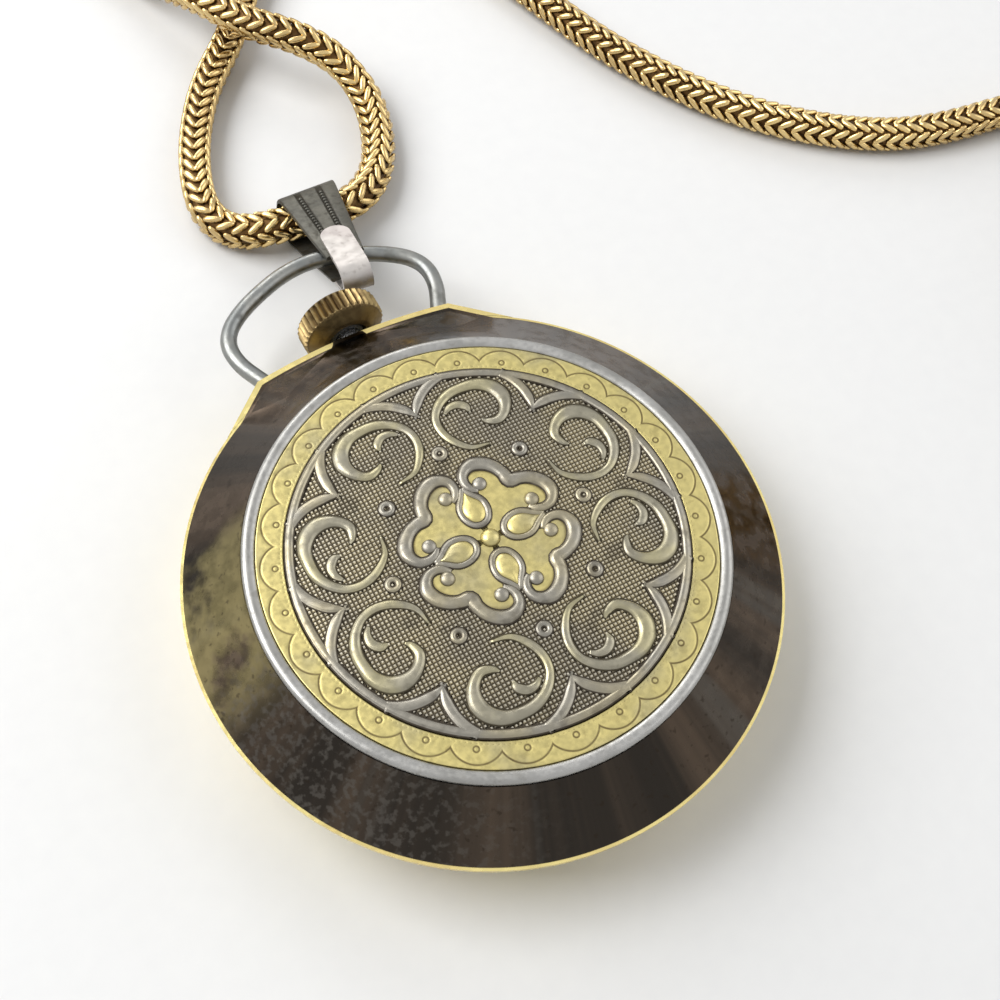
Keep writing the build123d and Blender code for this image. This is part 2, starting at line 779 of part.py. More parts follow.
# Bow: a bent wire with its feet soldered on the plate's edge
plate_edge_radius = (plate_half_width ** 2 + (plate_middle_y - plate_corner_y) ** 2) / (
    2 * (plate_middle_y - plate_corner_y))
bow_foot_y = plate_middle_y - plate_edge_radius + sqrt(
    plate_edge_radius ** 2 - (bow_foot_x - bow_wire_radius) ** 2)
with BuildPart() as bow:
    with BuildLine(Plane.XY.offset(pendant_height)) as bow_path:
        FilletPolyline(
            (-bow_foot_x, bow_foot_y),
            (-bow_shoulder_x, bow_shoulder_y),
            (0, bow_peak_y),
            (bow_shoulder_x, bow_shoulder_y),
            (bow_foot_x, bow_foot_y),
            radius=[bow_shoulder_radius, bow_peak_radius, bow_shoulder_radius],
        )
    start_direction = bow_path.line % 0
    with BuildSketch(Plane(bow_path.line @ 0, z_dir=start_direction)):
        Circle(bow_wire_radius)
    sweep()
save(bow, "bow")

# Crown tube, pressed through the plate and the case wall
upright = Plane((0, 0, pendant_height), x_dir=(1, 0, 0), z_dir=(0, 1, 0))
tube_start_y = middle_bore + 2 * seat_gap
with BuildPart() as crown_tube:
    with BuildSketch(upright.offset(tube_start_y)):
        Circle(tube_radius)
        Circle(tube_bore, mode=Mode.SUBTRACT)
    extrude(amount=tube_top_y - tube_start_y)
save(crown_tube, "crown_tube")

# Crown: a fluted disc with a socket that slides over the tube
crown_top_y = crown_bottom_y + crown_height
with BuildPart() as crown:
    with BuildSketch(Plane.XY.offset(pendant_height)):
        with BuildLine():
            Polyline(
                (0, crown_bottom_y),
                (crown_foot_radius, crown_bottom_y),
                (crown_radius, crown_bottom_y + crown_cone_height),
                (crown_radius, crown_top_y - crown_chamfer),
                (crown_radius - crown_chamfer, crown_top_y),
                (0, crown_top_y),
                close=True,
            )
        make_face()
    revolve(axis=Axis((0, 0, pendant_height), (0, 1, 0)))
    flute_width = crown_flute_share * 2 * pi * crown_radius / crown_flutes
    with BuildSketch(upright.offset(crown_bottom_y)):
        with PolarLocations(crown_radius, crown_flutes):
            Rectangle(2 * crown_flute_depth, flute_width)
    extrude(amount=crown_height, mode=Mode.SUBTRACT)
    with BuildSketch(upright.offset(crown_bottom_y)):
        Circle(crown_socket_radius)
    extrude(amount=crown_socket_depth, mode=Mode.SUBTRACT)
    with BuildSketch(upright.offset(crown_bottom_y + crown_socket_depth)):
        Circle(stem_radius + square_fit)
    extrude(amount=crown_height / 2 - crown_socket_depth / 2, mode=Mode.SUBTRACT)
save(crown, "crown")

# O-ring inside the crown's socket, round the tube
with BuildPart() as crown_gasket:
    ring_y = crown_bottom_y + o_ring_seat_share * o_ring_radius
    with BuildSketch(Plane.XY):
        with Locations((tube_radius + o_ring_radius + tube_fit, 0)):
            Circle(o_ring_radius)
    revolve(axis=Axis.Y)
crown_gasket.part = crown_gasket.part.moved(Location((0, ring_y, pendant_height)))
save(crown_gasket, "crown_gasket")

# Winding stem: pilot, square for the clutch, round shank with a groove, end in the crown
pilot_start_y = clutch_end_y - clutch_travel - seat_gap - pilot_length
square_start_y = pilot_start_y + pilot_length
square_end_y = pinion_end_y - seat_gap / 2
stem_end_y = crown_bottom_y + crown_socket_depth + (crown_height - crown_socket_depth) / 2
with BuildPart() as winding_stem:
    with BuildSketch(upright.offset(pilot_start_y)):
        Circle(pilot_radius)
    extrude(amount=pilot_length)
    with BuildSketch(upright.offset(square_start_y)):
        Rectangle(square_side, square_side)
    extrude(amount=square_end_y - square_start_y)
    with BuildSketch(upright.offset(square_end_y)):
        Circle(stem_radius)
    extrude(amount=stem_end_y - square_end_y)
    with BuildSketch(upright.offset(stem_groove_y - stem_groove_length / 2)):
        Circle(stem_radius + overrun)
        Circle(stem_groove_radius, mode=Mode.SUBTRACT)
    extrude(amount=stem_groove_length, mode=Mode.SUBTRACT)
save(winding_stem, "winding_stem")

# Winding pinion on the stem's round part; its top tooth meets the crown wheel from below
with BuildPart() as winding_pinion:
    with BuildSketch(upright.offset(pinion_end_y)):
        with BuildLine():
            Polyline(
                *gear_points(winding_pinion_teeth, winding_module, 90 + 180 / winding_pinion_teeth),
                close=True,
            )
        make_face()
        Circle(stem_radius + square_fit, mode=Mode.SUBTRACT)
    extrude(amount=pinion_length)
save(winding_pinion, "winding_pinion")

# Sliding clutch on the square, with a groove for the yoke's finger
with BuildPart() as sliding_clutch:
    with BuildSketch(upright.offset(clutch_end_y)):
        Circle(clutch_radius)
        Rectangle(
            square_side + 2 * square_fit, square_side + 2 * square_fit, mode=Mode.SUBTRACT)
    extrude(amount=clutch_length)
    with BuildSketch(upright.offset(clutch_groove_y - clutch_groove_width / 2)):
        Circle(clutch_radius + overrun)
        Circle(clutch_groove_radius, mode=Mode.SUBTRACT)
    extrude(amount=clutch_groove_width, mode=Mode.SUBTRACT)
save(sliding_clutch, "sliding_clutch")

# Gear turns, so that every pair is in mesh at rest
center_turn = 0.0
third_pinion_turn = meshed_turn(
    center_turn, center_teeth, bearing_of(center_place, third_place), third_pinion_teeth)
third_turn = third_pinion_turn
fourth_pinion_turn = meshed_turn(
    third_turn, third_teeth, bearing_of(third_place, fourth_place), fourth_pinion_teeth)
escape_pinion_turn = meshed_turn(
    fourth_pinion_turn, fourth_teeth, bearing_of(fourth_place, escape_place), escape_pinion_teeth)
barrel_turn = meshed_turn(
    center_turn, center_pinion_teeth, bearing_of(center_place, barrel_place), barrel_teeth)
crown_wheel_turn = 90.0
ratchet_turn = meshed_turn(
    crown_wheel_turn, crown_wheel_teeth, bearing_of(crown_wheel_place, barrel_place), ratchet_teeth)
cannon_turn = 0.0
minute_turn = meshed_turn(
    cannon_turn, cannon_teeth, bearing_of(center_place, minute_place), minute_teeth)
hour_turn = meshed_turn(
    minute_turn, minute_pinion_teeth, bearing_of(minute_place, center_place), hour_teeth)
setting_turn = meshed_turn(
    minute_turn, minute_teeth, bearing_of(minute_place, setting_place), setting_teeth)

# Main plate with its recesses, bores and seats
train_floor_margin = 0.25
keyless_half_width = 3.3
keyless_recess_radius = 11.2
keyless_start_y = 5.0
pinion_slot_margin = 0.1
finger_slot = 0.45
motion_margin = 0.25
with BuildPart() as main_plate:
    with BuildSketch(Plane.XY.offset(plate_face)):
        Circle(movement_radius)
    extrude(amount=plate_top - plate_face)
    with BuildSketch(Plane.XY.offset(plate_face)):
        Circle(pitch_radius(hour_teeth, hour_module) + hour_module + motion_margin)
        with Locations(minute_place):
            Circle(pitch_radius(minute_teeth, motion_module) + motion_module + motion_margin)
        with Locations(setting_place):
            Circle(pitch_radius(setting_teeth, motion_module) + motion_module + motion_margin)
        with BuildSketch(mode=Mode.ADD):
            Circle(keyless_recess_radius)
            with Locations((0, keyless_start_y)):
                Rectangle(
                    2 * keyless_half_width, movement_radius,
                    align=(Align.CENTER, Align.MIN), mode=Mode.INTERSECT,
                )
    extrude(amount=motion_recess, mode=Mode.SUBTRACT)
    with BuildSketch(Plane.XY.offset(center_recess)):
        Circle(pitch_radius(center_teeth, center_module) + train_floor_margin)
        with Locations(third_place):
            Circle(pitch_radius(third_pinion_teeth, center_module) + train_floor_margin)
    extrude(amount=plate_top - center_recess, mode=Mode.SUBTRACT)
    with BuildSketch(Plane.XY.offset(barrel_recess)):
        with Locations(barrel_place):
            Circle(pitch_radius(barrel_teeth, barrel_module) + barrel_module + recess_clearance)
    extrude(amount=plate_top - barrel_recess, mode=Mode.SUBTRACT)
    with BuildSketch(Plane.XY.offset(plate_face)):
        with Locations((0, clutch_end_y - clutch_travel - seat_gap)):
            Rectangle(
                2 * (clutch_radius + recess_clearance),
                clutch_length + clutch_travel + 2 * seat_gap,
                align=(Align.CENTER, Align.MIN),
            )
        with Locations((0, pinion_end_y - seat_gap / 2)):
            Rectangle(
                2 * (pinion_pitch_radius + winding_module + pinion_slot_margin),
                pinion_length + seat_gap,
                align=(Align.CENTER, Align.MIN),
            )
    extrude(amount=plate_top - plate_face, mode=Mode.SUBTRACT)
    with BuildSketch(Plane.XY.offset(plate_face)):
        with Locations((0, stem_groove_y - stem_groove_length / 2)):
            Rectangle(
                finger_slot, crown_travel + stem_groove_length + finger_slot,
                align=(Align.CENTER, Align.MIN),
            )
    extrude(amount=pendant_height - plate_face, mode=Mode.SUBTRACT)
    with BuildSketch(upright.offset(pilot_start_y - seat_gap)):
        Circle(pilot_radius + square_fit)
    extrude(amount=2 * pilot_length, mode=Mode.SUBTRACT)
    with BuildSketch(upright.offset(pinion_end_y)):
        Circle(stem_radius + square_fit)
    extrude(amount=movement_radius, mode=Mode.SUBTRACT)
    round_bar(center_place, plate_face, plate_top, center_arbor_radius + 2 * square_fit, Mode.SUBTRACT)
    round_bar(barrel_place, plate_face + motion_recess, plate_top,
              barrel_pivot_radius + square_fit, Mode.SUBTRACT)
    for place, seat, _ in jewel_seats.values():
        round_bar(place, seat - jewel_height, seat, jewel_radius + jewel_fit, Mode.SUBTRACT)
        round_bar(place, seat - 2 * jewel_height, seat, pivot_radius + pivot_fit, Mode.SUBTRACT)
    for place, _ in screw_seats:
        round_bar(place, plate_top - screw_depth - seat_gap, plate_top,
                  screw_shank_radius + screw_fit, Mode.SUBTRACT)
save(main_plate, "main_plate")


# Outlines of the two large bridges, as shares of the movement's radius
barrel_bridge_shares = [(-1.0, -0.15), (-0.19, -0.02), (0.1, 0.17), (0.5, 1.0), (-1.0, 1.0)]
train_bridge_shares = [
    (0.04, -0.075), (0.06, 0.07), (0.18, 0.17), (0.42, 0.62),
    (1.0, 0.62), (1.0, -0.62), (0.22, -0.58),
]
center_boss_radius = 0.85
balance_window = balance_radius + 2 * bridge_gap


def bridge_corners(shares):
    """Corners of a bridge's outline from shares of the movement's radius."""
    return [(x * movement_radius, y * movement_radius) for x, y in shares]


# Barrel bridge: carries barrel arbor, ratchet wheel, crown wheel and click
crown_boss_radius = 0.6
click_reach = 4.35
click_bearing = 208.0
click_place = shifted(barrel_place, polar(click_reach, click_bearing))
with BuildPart() as barrel_bridge:
    with BuildSketch(Plane.XY.offset(plate_top)):
        with BuildLine():
            Polyline(*bridge_corners(barrel_bridge_shares), close=True)
        make_face()
        Circle(bridge_radius, mode=Mode.INTERSECT)
        Circle(foot_inner_radius, mode=Mode.SUBTRACT)
    extrude(amount=barrel_bridge_bottom - plate_top)
    with BuildSketch(Plane.XY.offset(barrel_bridge_bottom)):
        with BuildLine():
            Polyline(*bridge_corners(barrel_bridge_shares), close=True)
        make_face()
        Circle(bridge_radius, mode=Mode.INTERSECT)
    extrude(amount=barrel_bridge_top - barrel_bridge_bottom)
    with BuildSketch(Plane.XY.offset(plate_top)):
        with Locations((0, pinion_end_y - seat_gap)):
            Rectangle(
                2 * (pinion_pitch_radius + winding_module + pinion_slot_margin),
                pinion_length + 2 * seat_gap,
                align=(Align.CENTER, Align.MIN),
            )
    extrude(amount=barrel_bridge_top - plate_top, mode=Mode.SUBTRACT)
    round_bar(crown_wheel_place, barrel_bridge_bottom, ratchet_level + ratchet_thickness,
              crown_boss_radius)
    round_bar(barrel_place, barrel_bridge_bottom, barrel_bridge_top,
              barrel_pivot_radius + square_fit, Mode.SUBTRACT)
    round_bar(click_place, barrel_bridge_bottom, ratchet_level + ratchet_thickness, post_radius)
    for place in barrel_bridge_screws:
        round_bar(place, plate_top, barrel_bridge_top, screw_shank_radius + screw_fit, Mode.SUBTRACT)
save(barrel_bridge, "barrel_bridge")

# Train bridge: upper bearings of the third, fourth and escape wheels and of the centre
with BuildPart() as train_bridge:
    with BuildSketch(Plane.XY.offset(plate_top)):
        with BuildLine():
            Polyline(*bridge_corners(train_bridge_shares), close=True)
        make_face()
        Circle(bridge_radius, mode=Mode.INTERSECT)
        Circle(foot_inner_radius, mode=Mode.SUBTRACT)
    extrude(amount=train_bridge_bottom - plate_top)
    with BuildSketch(Plane.XY.offset(train_bridge_bottom)):
        with BuildLine():
            Polyline(*bridge_corners(train_bridge_shares), close=True)
        make_face()
        Circle(bridge_radius, mode=Mode.INTERSECT)
        Circle(center_boss_radius)
    extrude(amount=train_bridge_top - train_bridge_bottom)
    round_bar(balance_place, plate_top, train_bridge_top, balance_window, Mode.SUBTRACT)
    round_bar(center_place, train_bridge_bottom, train_bridge_top,
              arbor_radius + pivot_fit, Mode.SUBTRACT)
    for name in ("third", "fourth", "escape"):
        place, _, seat = jewel_seats[name]
        round_bar(place, seat, seat + jewel_height, jewel_radius + jewel_fit, Mode.SUBTRACT)
        round_bar(place, seat, train_bridge_top, pivot_radius + 2 * pivot_fit, Mode.SUBTRACT)
    for place in train_bridge_screws:
        round_bar(place, plate_top, train_bridge_top, screw_shank_radius + screw_fit, Mode.SUBTRACT)
save(train_bridge, "train_bridge")

# Pallet bridge: a small bar on two posts over the lever
pallet_bar_radius = 0.62
with BuildPart() as pallet_bridge:
    for post in pallet_posts:
        with BuildSketch(Plane.XY.offset(pallet_bridge_bottom)):
            with Locations(pallet_place, post):
                Circle(pallet_bar_radius)
            make_hull()
        extrude(amount=pallet_bridge_top - pallet_bridge_bottom)
    for place in pallet_posts:
        round_bar(place, plate_top, pallet_bridge_bottom, screw_head_radius)
    round_bar(pallet_place, pallet_bridge_bottom, pallet_bridge_top,
              pivot_radius + pivot_fit, Mode.SUBTRACT)
    for place in pallet_posts:
        round_bar(place, plate_top, pallet_bridge_top, screw_shank_radius + screw_fit, Mode.SUBTRACT)
save(pallet_bridge, "pallet_bridge")

# Balance cock: an arm from its foot to the balance's upper bearing
cock_boss_radius = 1.35
with BuildPart() as balance_cock:
    with BuildSketch(Plane.XY.offset(cock_bottom)):
        with Locations(balance_place):
            Circle(cock_boss_radius)
        with Locations(cock_foot_place):
            Circle(cock_foot_radius)
        make_hull()
    extrude(amount=cock_top - cock_bottom)
    round_bar(cock_foot_place, plate_top, cock_bottom, cock_foot_radius)
    round_bar(balance_place, cock_bottom, cock_bottom + jewel_height,
              jewel_radius + jewel_fit, Mode.SUBTRACT)
    round_bar(balance_place, cock_bottom, cock_top, pivot_radius + 2 * pivot_fit, Mode.SUBTRACT)
    round_bar(cock_foot_place, plate_top, cock_top, screw_shank_radius + screw_fit, Mode.SUBTRACT)
save(balance_cock, "balance_cock")

# Jewels: rings in the plate and the bridges
with BuildPart() as jewels:
    for place, lower, upper in jewel_seats.values():
        for seat in (lower - jewel_height, upper):
            if seat is None:
                continue
            with BuildSketch(Plane((place[0], place[1], seat))):
                Circle(jewel_radius)
                Circle(pivot_radius + pivot_fit, mode=Mode.SUBTRACT)
            extrude(amount=jewel_height)
save(jewels, "jewels")

# Slotted screws of the bridges and the clamps
with BuildPart() as movement_screws:
    for place, seat in screw_seats:
        round_bar(place, plate_top - screw_depth, seat, screw_shank_radius)
        round_bar(place, seat, seat + screw_head_height, screw_head_radius)
        with BuildSketch(Plane((place[0], place[1], seat + screw_head_height - screw_slot_depth))):
            Rectangle(2 * screw_head_radius + overrun, screw_slot_width)
        extrude(amount=screw_slot_depth, mode=Mode.SUBTRACT)
save(movement_screws, "movement_screws")

# Clamps that hold the movement in the case
with BuildPart() as case_clamps:
    for bearing in clamp_bearings:
        direction = (cos(radians(bearing)), sin(radians(bearing)), 0)
        with BuildSketch(Plane((0, 0, plate_top), x_dir=direction)):
            with Locations(((clamp_inner_radius + clamp_outer_radius) / 2, 0)):
                RectangleRounded(
                    clamp_outer_radius - clamp_inner_radius, clamp_width, clamp_thickness)
            with Locations((clamp_screw_radius, 0)):
                Circle(screw_shank_radius + screw_fit, mode=Mode.SUBTRACT)
        extrude(amount=clamp_thickness)
save(case_clamps, "case_clamps")

# Going barrel: a toothed drum with a floor and a lid, bored for its arbor
drum_radius = pitch_radius(barrel_teeth, barrel_module) - dedendum_share * barrel_module
with BuildPart() as mainspring_barrel:
    toothed_disc(barrel_place, barrel_bottom, barrel_tooth_height, barrel_teeth, barrel_module,
                 barrel_turn)
    round_bar(barrel_place, barrel_bottom, barrel_top, drum_radius)
    round_bar(barrel_place, barrel_bottom + barrel_lid, barrel_top - barrel_lid,
              drum_radius - barrel_wall, Mode.SUBTRACT)
    round_bar(barrel_place, barrel_bottom, barrel_top, barrel_pivot_radius + square_fit,
              Mode.SUBTRACT)
save(mainspring_barrel, "mainspring_barrel")

# Barrel arbor: core, pivots and the square that carries the ratchet wheel
core_bottom = barrel_bottom + barrel_lid + seat_gap / 2
core_top = barrel_top - barrel_lid - seat_gap / 2
arbor_foot = barrel_recess - recess_clearance
ratchet_top = ratchet_level + ratchet_thickness
with BuildPart() as barrel_arbor:
    round_bar(barrel_place, core_bottom, core_top, barrel_arbor_radius)
    round_bar(barrel_place, arbor_foot, ratchet_top, barrel_pivot_radius)
save(barrel_arbor, "barrel_arbor")

spring_inner = barrel_arbor_radius + mainspring_thickness
spring_space = drum_radius - barrel_wall - spring_inner - mainspring_pitch / 2
mainspring_half_turns = int(2 * spring_space / mainspring_pitch)
mainspring = spiral_strip(
    barrel_place, core_bottom, core_top - core_bottom, spring_inner, mainspring_pitch,
    mainspring_half_turns, mainspring_thickness)
save(mainspring, "mainspring")

with BuildPart() as ratchet_wheel:
    toothed_disc(barrel_place, ratchet_level, ratchet_thickness, ratchet_teeth, winding_module,
                 ratchet_turn)
    round_bar(barrel_place, ratchet_level, ratchet_top, barrel_pivot_radius + jewel_fit,
              Mode.SUBTRACT)
save(ratchet_wheel, "ratchet_wheel")

with BuildPart() as crown_wheel:
    toothed_disc(crown_wheel_place, ratchet_level, ratchet_thickness, crown_wheel_teeth,
                 winding_module, crown_wheel_turn)
    round_bar(crown_wheel_place, ratchet_level, ratchet_top, crown_boss_radius + post_fit,
              Mode.SUBTRACT)
save(crown_wheel, "crown_wheel")

# Click: a sprung pawl whose beak lies between two teeth of the ratchet wheel
click_width = 0.85
click_tail = 1.3
beak_gap = 0.05
beak_half_width = 0.1
ratchet_tip = ratchet_radius + addendum_share * winding_module
tooth_pitch_angle = 360 / ratchet_teeth
beak_lead = 14.0              # degrees from the click's place to the gap that its beak rests in
gap_number = round((click_bearing + beak_lead - ratchet_turn) / tooth_pitch_angle - 0.5)
beak_bearing = ratchet_turn + (gap_number + 0.5) * tooth_pitch_angle
beak_point = shifted(barrel_place, polar(ratchet_tip - winding_module, beak_bearing))
beak_base = shifted(barrel_place, polar(ratchet_tip + beak_gap, beak_bearing))
beak_side = polar(beak_half_width, beak_bearing + 90)
click_tail_turn = 75.0
click_end = shifted(click_place, polar(click_tail, click_bearing - click_tail_turn))
with BuildPart() as click:
    with BuildSketch(Plane.XY.offset(ratchet_level)):
        with Locations(click_place):
            Circle(click_width / 2)
        with Locations(click_end):
            Circle(click_width / 4)
        make_hull()
        with BuildLine():
            Polyline(
                click_place,
                shifted(beak_base, (-2 * beak_side[0], -2 * beak_side[1])),
                beak_point,
                shifted(beak_base, (2 * beak_side[0], 2 * beak_side[1])),
                close=True,
            )
        make_face()
        with Locations(click_place):
            Circle(post_radius + post_fit, mode=Mode.SUBTRACT)
    extrude(amount=ratchet_thickness)
save(click, "click")

# Going train
train_upper = train_bridge_bottom
center_floor = center_recess
with BuildPart() as center_wheel:
    toothed_disc(center_place, center_level, wheel_thickness, center_teeth, center_module, center_turn)
    arm_windows(center_place, center_level, wheel_thickness, pitch_radius(center_teeth, center_module))
    toothed_disc(center_place, center_level + wheel_thickness, barrel_tooth_height + 2 * seat_gap,
                 center_pinion_teeth, barrel_module, center_turn)
    round_bar(center_place, center_floor, train_upper, arbor_radius)
    round_bar(center_place, train_upper, train_upper + jewel_height, arbor_radius)
    round_bar(center_place, minute_hand_face, center_floor + seat_gap, center_arbor_radius)
save(center_wheel, "center_wheel")

third_wheel = train_wheel(
    third_place,
    (third_teeth, third_module, third_turn, third_level, wheel_thickness),
    (third_pinion_teeth, center_module, third_pinion_turn, center_level - seat_gap / 2,
     wheel_thickness + seat_gap),
    center_recess, train_upper)
save(third_wheel, "third_wheel")

fourth_wheel = train_wheel(
    fourth_place,
    (fourth_teeth, fourth_module, fourth_pinion_turn, fourth_level, wheel_thickness),
    (fourth_pinion_teeth, third_module, fourth_pinion_turn, third_level - seat_gap / 2,
     wheel_thickness + seat_gap),
    plate_top, train_upper)
save(fourth_wheel, "fourth_wheel")

# Escape wheel: fifteen raked teeth on a thin rim
escape_rim_share = 0.7
escape_rim_radius = escape_rim_share * escape_radius
escape_rake = 7.0
escape_tooth_width = 3.2
escape_thickness = 0.11
with BuildPart() as escape_wheel:
    with BuildSketch(Plane((escape_place[0], escape_place[1], escape_level))):
        with BuildLine():
            escape_points = []
            for tooth in range(escape_teeth):
                lead = tooth * 360 / escape_teeth
                escape_points += [
                    polar(escape_rim_radius, lead),
                    polar(escape_radius, lead + escape_rake),
                    polar(escape_radius, lead + escape_rake + escape_tooth_width),
                    polar(escape_rim_radius, lead + 2 * escape_rake),
                ]
            Polyline(*escape_points, close=True)
        make_face()
    extrude(amount=escape_thickness)
    arm_windows(escape_place, escape_level, escape_thickness, escape_rim_radius + wheel_rim / 4)
    toothed_disc(escape_place, fourth_level - seat_gap / 2, escape_level - fourth_level,
                 escape_pinion_teeth, fourth_module, escape_pinion_turn)
    round_bar(escape_place, plate_top, train_upper, arbor_radius)
    round_bar(escape_place, plate_top - pivot_length, train_upper + pivot_length, pivot_radius)
save(escape_wheel, "escape_wheel")

# Pallet lever: fork towards the balance, two arms with their stones at the escape wheel
lever_width = 0.3
fork_length = balance_distance - impulse_pin_offset - 2 * impulse_pin_radius
fork_half_width = 0.3
fork_play_share = 0.5         # play of the impulse pin in the fork, in pin radii
fork_notch_width = (2 + fork_play_share) * impulse_pin_radius
fork_notch_depth = 0.35
pallet_boss_radius = 0.34
stone_spread = 34.0
stone_gap = 0.05
stone_width = 0.3
stone_length = 0.5
toward_balance = (cos(radians(lever_bearing)), sin(radians(lever_bearing)), 0)
pallet_plane = Plane((pallet_place[0], pallet_place[1], escape_level), x_dir=toward_balance)
with BuildPart() as pallet_fork:
    with BuildSketch(pallet_plane):
        Circle(pallet_boss_radius)
        Rectangle(fork_length, lever_width, align=(Align.MIN, Align.CENTER))
        with Locations((fork_length - fork_notch_depth / 2, 0)):
            Rectangle(2 * fork_notch_depth, 2 * fork_half_width)
        with Locations((fork_length + fork_notch_depth / 2, 0)):
            Rectangle(2 * fork_notch_depth, fork_notch_width, mode=Mode.SUBTRACT)
        for side in (stone_spread, -stone_spread):
            tip = shifted(polar(escape_radius + stone_gap, side), (-pallet_distance, 0))
            root = shifted(tip, polar(stone_length, side))
            along = polar(stone_width / 2, side + 90)
            with BuildLine():
                Polyline(
                    (tip[0] + along[0], tip[1] + along[1]),
                    (tip[0] - along[0], tip[1] - along[1]),
                    (root[0] - along[0], root[1] - along[1]),
                    (root[0] + along[0], root[1] + along[1]),
                    close=True,
                )
            make_face()
    extrude(amount=escape_thickness)
    for side in (stone_spread, -stone_spread):
        arm_end = shifted(
            polar(escape_radius + stone_gap + stone_length, side), (-pallet_distance, 0))
        with BuildSketch(pallet_plane):
            with Locations((0, 0), arm_end):
                Circle(lever_width / 2)
            make_hull()
        extrude(amount=escape_thickness)
    round_bar(pallet_place, plate_top, pallet_bridge_bottom, arbor_radius)
    round_bar(pallet_place, plate_top - pivot_length, pallet_bridge_top, pivot_radius)
save(pallet_fork, "pallet_fork")

# Balance wheel with its staff, roller and impulse pin
pin_place = shifted(balance_place, polar(-impulse_pin_offset, lever_bearing))
with BuildPart() as balance_wheel:
    round_bar(balance_place, balance_level, balance_level + balance_thickness, balance_radius)
    with BuildSketch(Plane((balance_place[0], balance_place[1], balance_level))):
        Circle(balance_radius - balance_rim)
        with PolarLocations(0, wheel_arms):
            Rectangle(
                balance_radius, arm_width, align=(Align.MIN, Align.CENTER), mode=Mode.SUBTRACT)
        Circle(wheel_hub, mode=Mode.SUBTRACT)
    extrude(amount=balance_thickness, mode=Mode.SUBTRACT)
    round_bar(balance_place, plate_top, cock_bottom, arbor_radius)
    round_bar(balance_place, plate_top - pivot_length, cock_bottom + pivot_length, pivot_radius)
    round_bar(balance_place, balance_level - balance_thickness, balance_level, roller_radius)
    round_bar(pin_place, escape_level, balance_level, impulse_pin_radius)
save(balance_wheel, "balance_wheel")

hairspring = spiral_strip(
    balance_place, hairspring_level, hairspring_height, hairspring_inner, hairspring_pitch,
    hairspring_half_turns, hairspring_thickness)
save(hairspring, "hairspring")

# Motion work under the dial
motion_gap = 0.04
cannon_height = 0.2
cannon_bottom = recess_floor - motion_gap - cannon_height
hour_wheel_level = dial_back + 2 * motion_gap
minute_wheel_level = cannon_bottom + motion_gap
with BuildPart() as cannon_pinion:
    toothed_disc(center_place, cannon_bottom, cannon_height, cannon_teeth, motion_module, cannon_turn)
    round_bar(center_place, minute_hand_face, cannon_bottom, cannon_pipe_radius)
    round_bar(center_place, minute_hand_face, recess_floor, cannon_bore, Mode.SUBTRACT)
save(cannon_pinion, "cannon_pinion")

with BuildPart() as minute_wheel:
    toothed_disc(minute_place, minute_wheel_level, wheel_thickness, minute_teeth, motion_module,
                 minute_turn)
    toothed_disc(minute_place, hour_wheel_level, minute_wheel_level - hour_wheel_level,
                 minute_pinion_teeth, hour_module, minute_turn)
    round_bar(minute_place, hour_wheel_level, minute_wheel_level + wheel_thickness,
              wheel_post_radius / 2 + post_fit, Mode.SUBTRACT)
save(minute_wheel, "minute_wheel")

with BuildPart() as hour_wheel:
    toothed_disc(center_place, hour_wheel_level, wheel_thickness, hour_teeth, hour_module, hour_turn)
    round_bar(center_place, hour_hand_face, hour_wheel_level, hour_pipe_radius)
    round_bar(center_place, hour_hand_face, hour_wheel_level + wheel_thickness,
              cannon_pipe_radius + 2 * motion_gap, Mode.SUBTRACT)
save(hour_wheel, "hour_wheel")

with BuildPart() as setting_wheel:
    toothed_disc(setting_place, minute_wheel_level, wheel_thickness, setting_teeth, motion_module,
                 setting_turn)
    round_bar(setting_place, minute_wheel_level, minute_wheel_level + wheel_thickness,
              wheel_post_radius + post_fit, Mode.SUBTRACT)
save(setting_wheel, "setting_wheel")

# Posts of the motion work and of the two levers, riveted in the plate
with BuildPart() as plate_posts:
    round_bar(minute_place, hour_wheel_level, recess_floor, wheel_post_radius / 2)
    round_bar(setting_place, minute_wheel_level, recess_floor, wheel_post_radius)
    for place in (setting_lever_place, yoke_place):
        round_bar(place, lever_level, recess_floor, post_radius)
save(plate_posts, "plate_posts")


def keyless_lever(pivot, finger, finger_top):
    """A flat lever from its pivot to a finger that stands up into a groove."""
    with BuildPart() as piece:
        with BuildSketch(Plane.XY.offset(lever_level)) as outline:
            with Locations(pivot):
                Circle(lever_boss_radius)
            with Locations(finger):
                Circle(lever_tip_radius)
            make_hull()
            with Locations(pivot):
                Circle(post_radius + post_fit, mode=Mode.SUBTRACT)
        extrude(amount=lever_thickness)
        round_bar(finger, lever_level, finger_top, lever_pin_radius)
    return piece


# Setting lever, moved by the stem's groove, and yoke, which moves the clutch
setting_lever = keyless_lever(
    setting_lever_place, (0.0, stem_groove_y), pendant_height - stem_groove_radius - post_fit)
save(setting_lever, "setting_lever")
yoke = keyless_lever(
    yoke_place, (0.0, clutch_groove_y), pendant_height - clutch_groove_radius - 2 * post_fit)
save(yoke, "yoke")

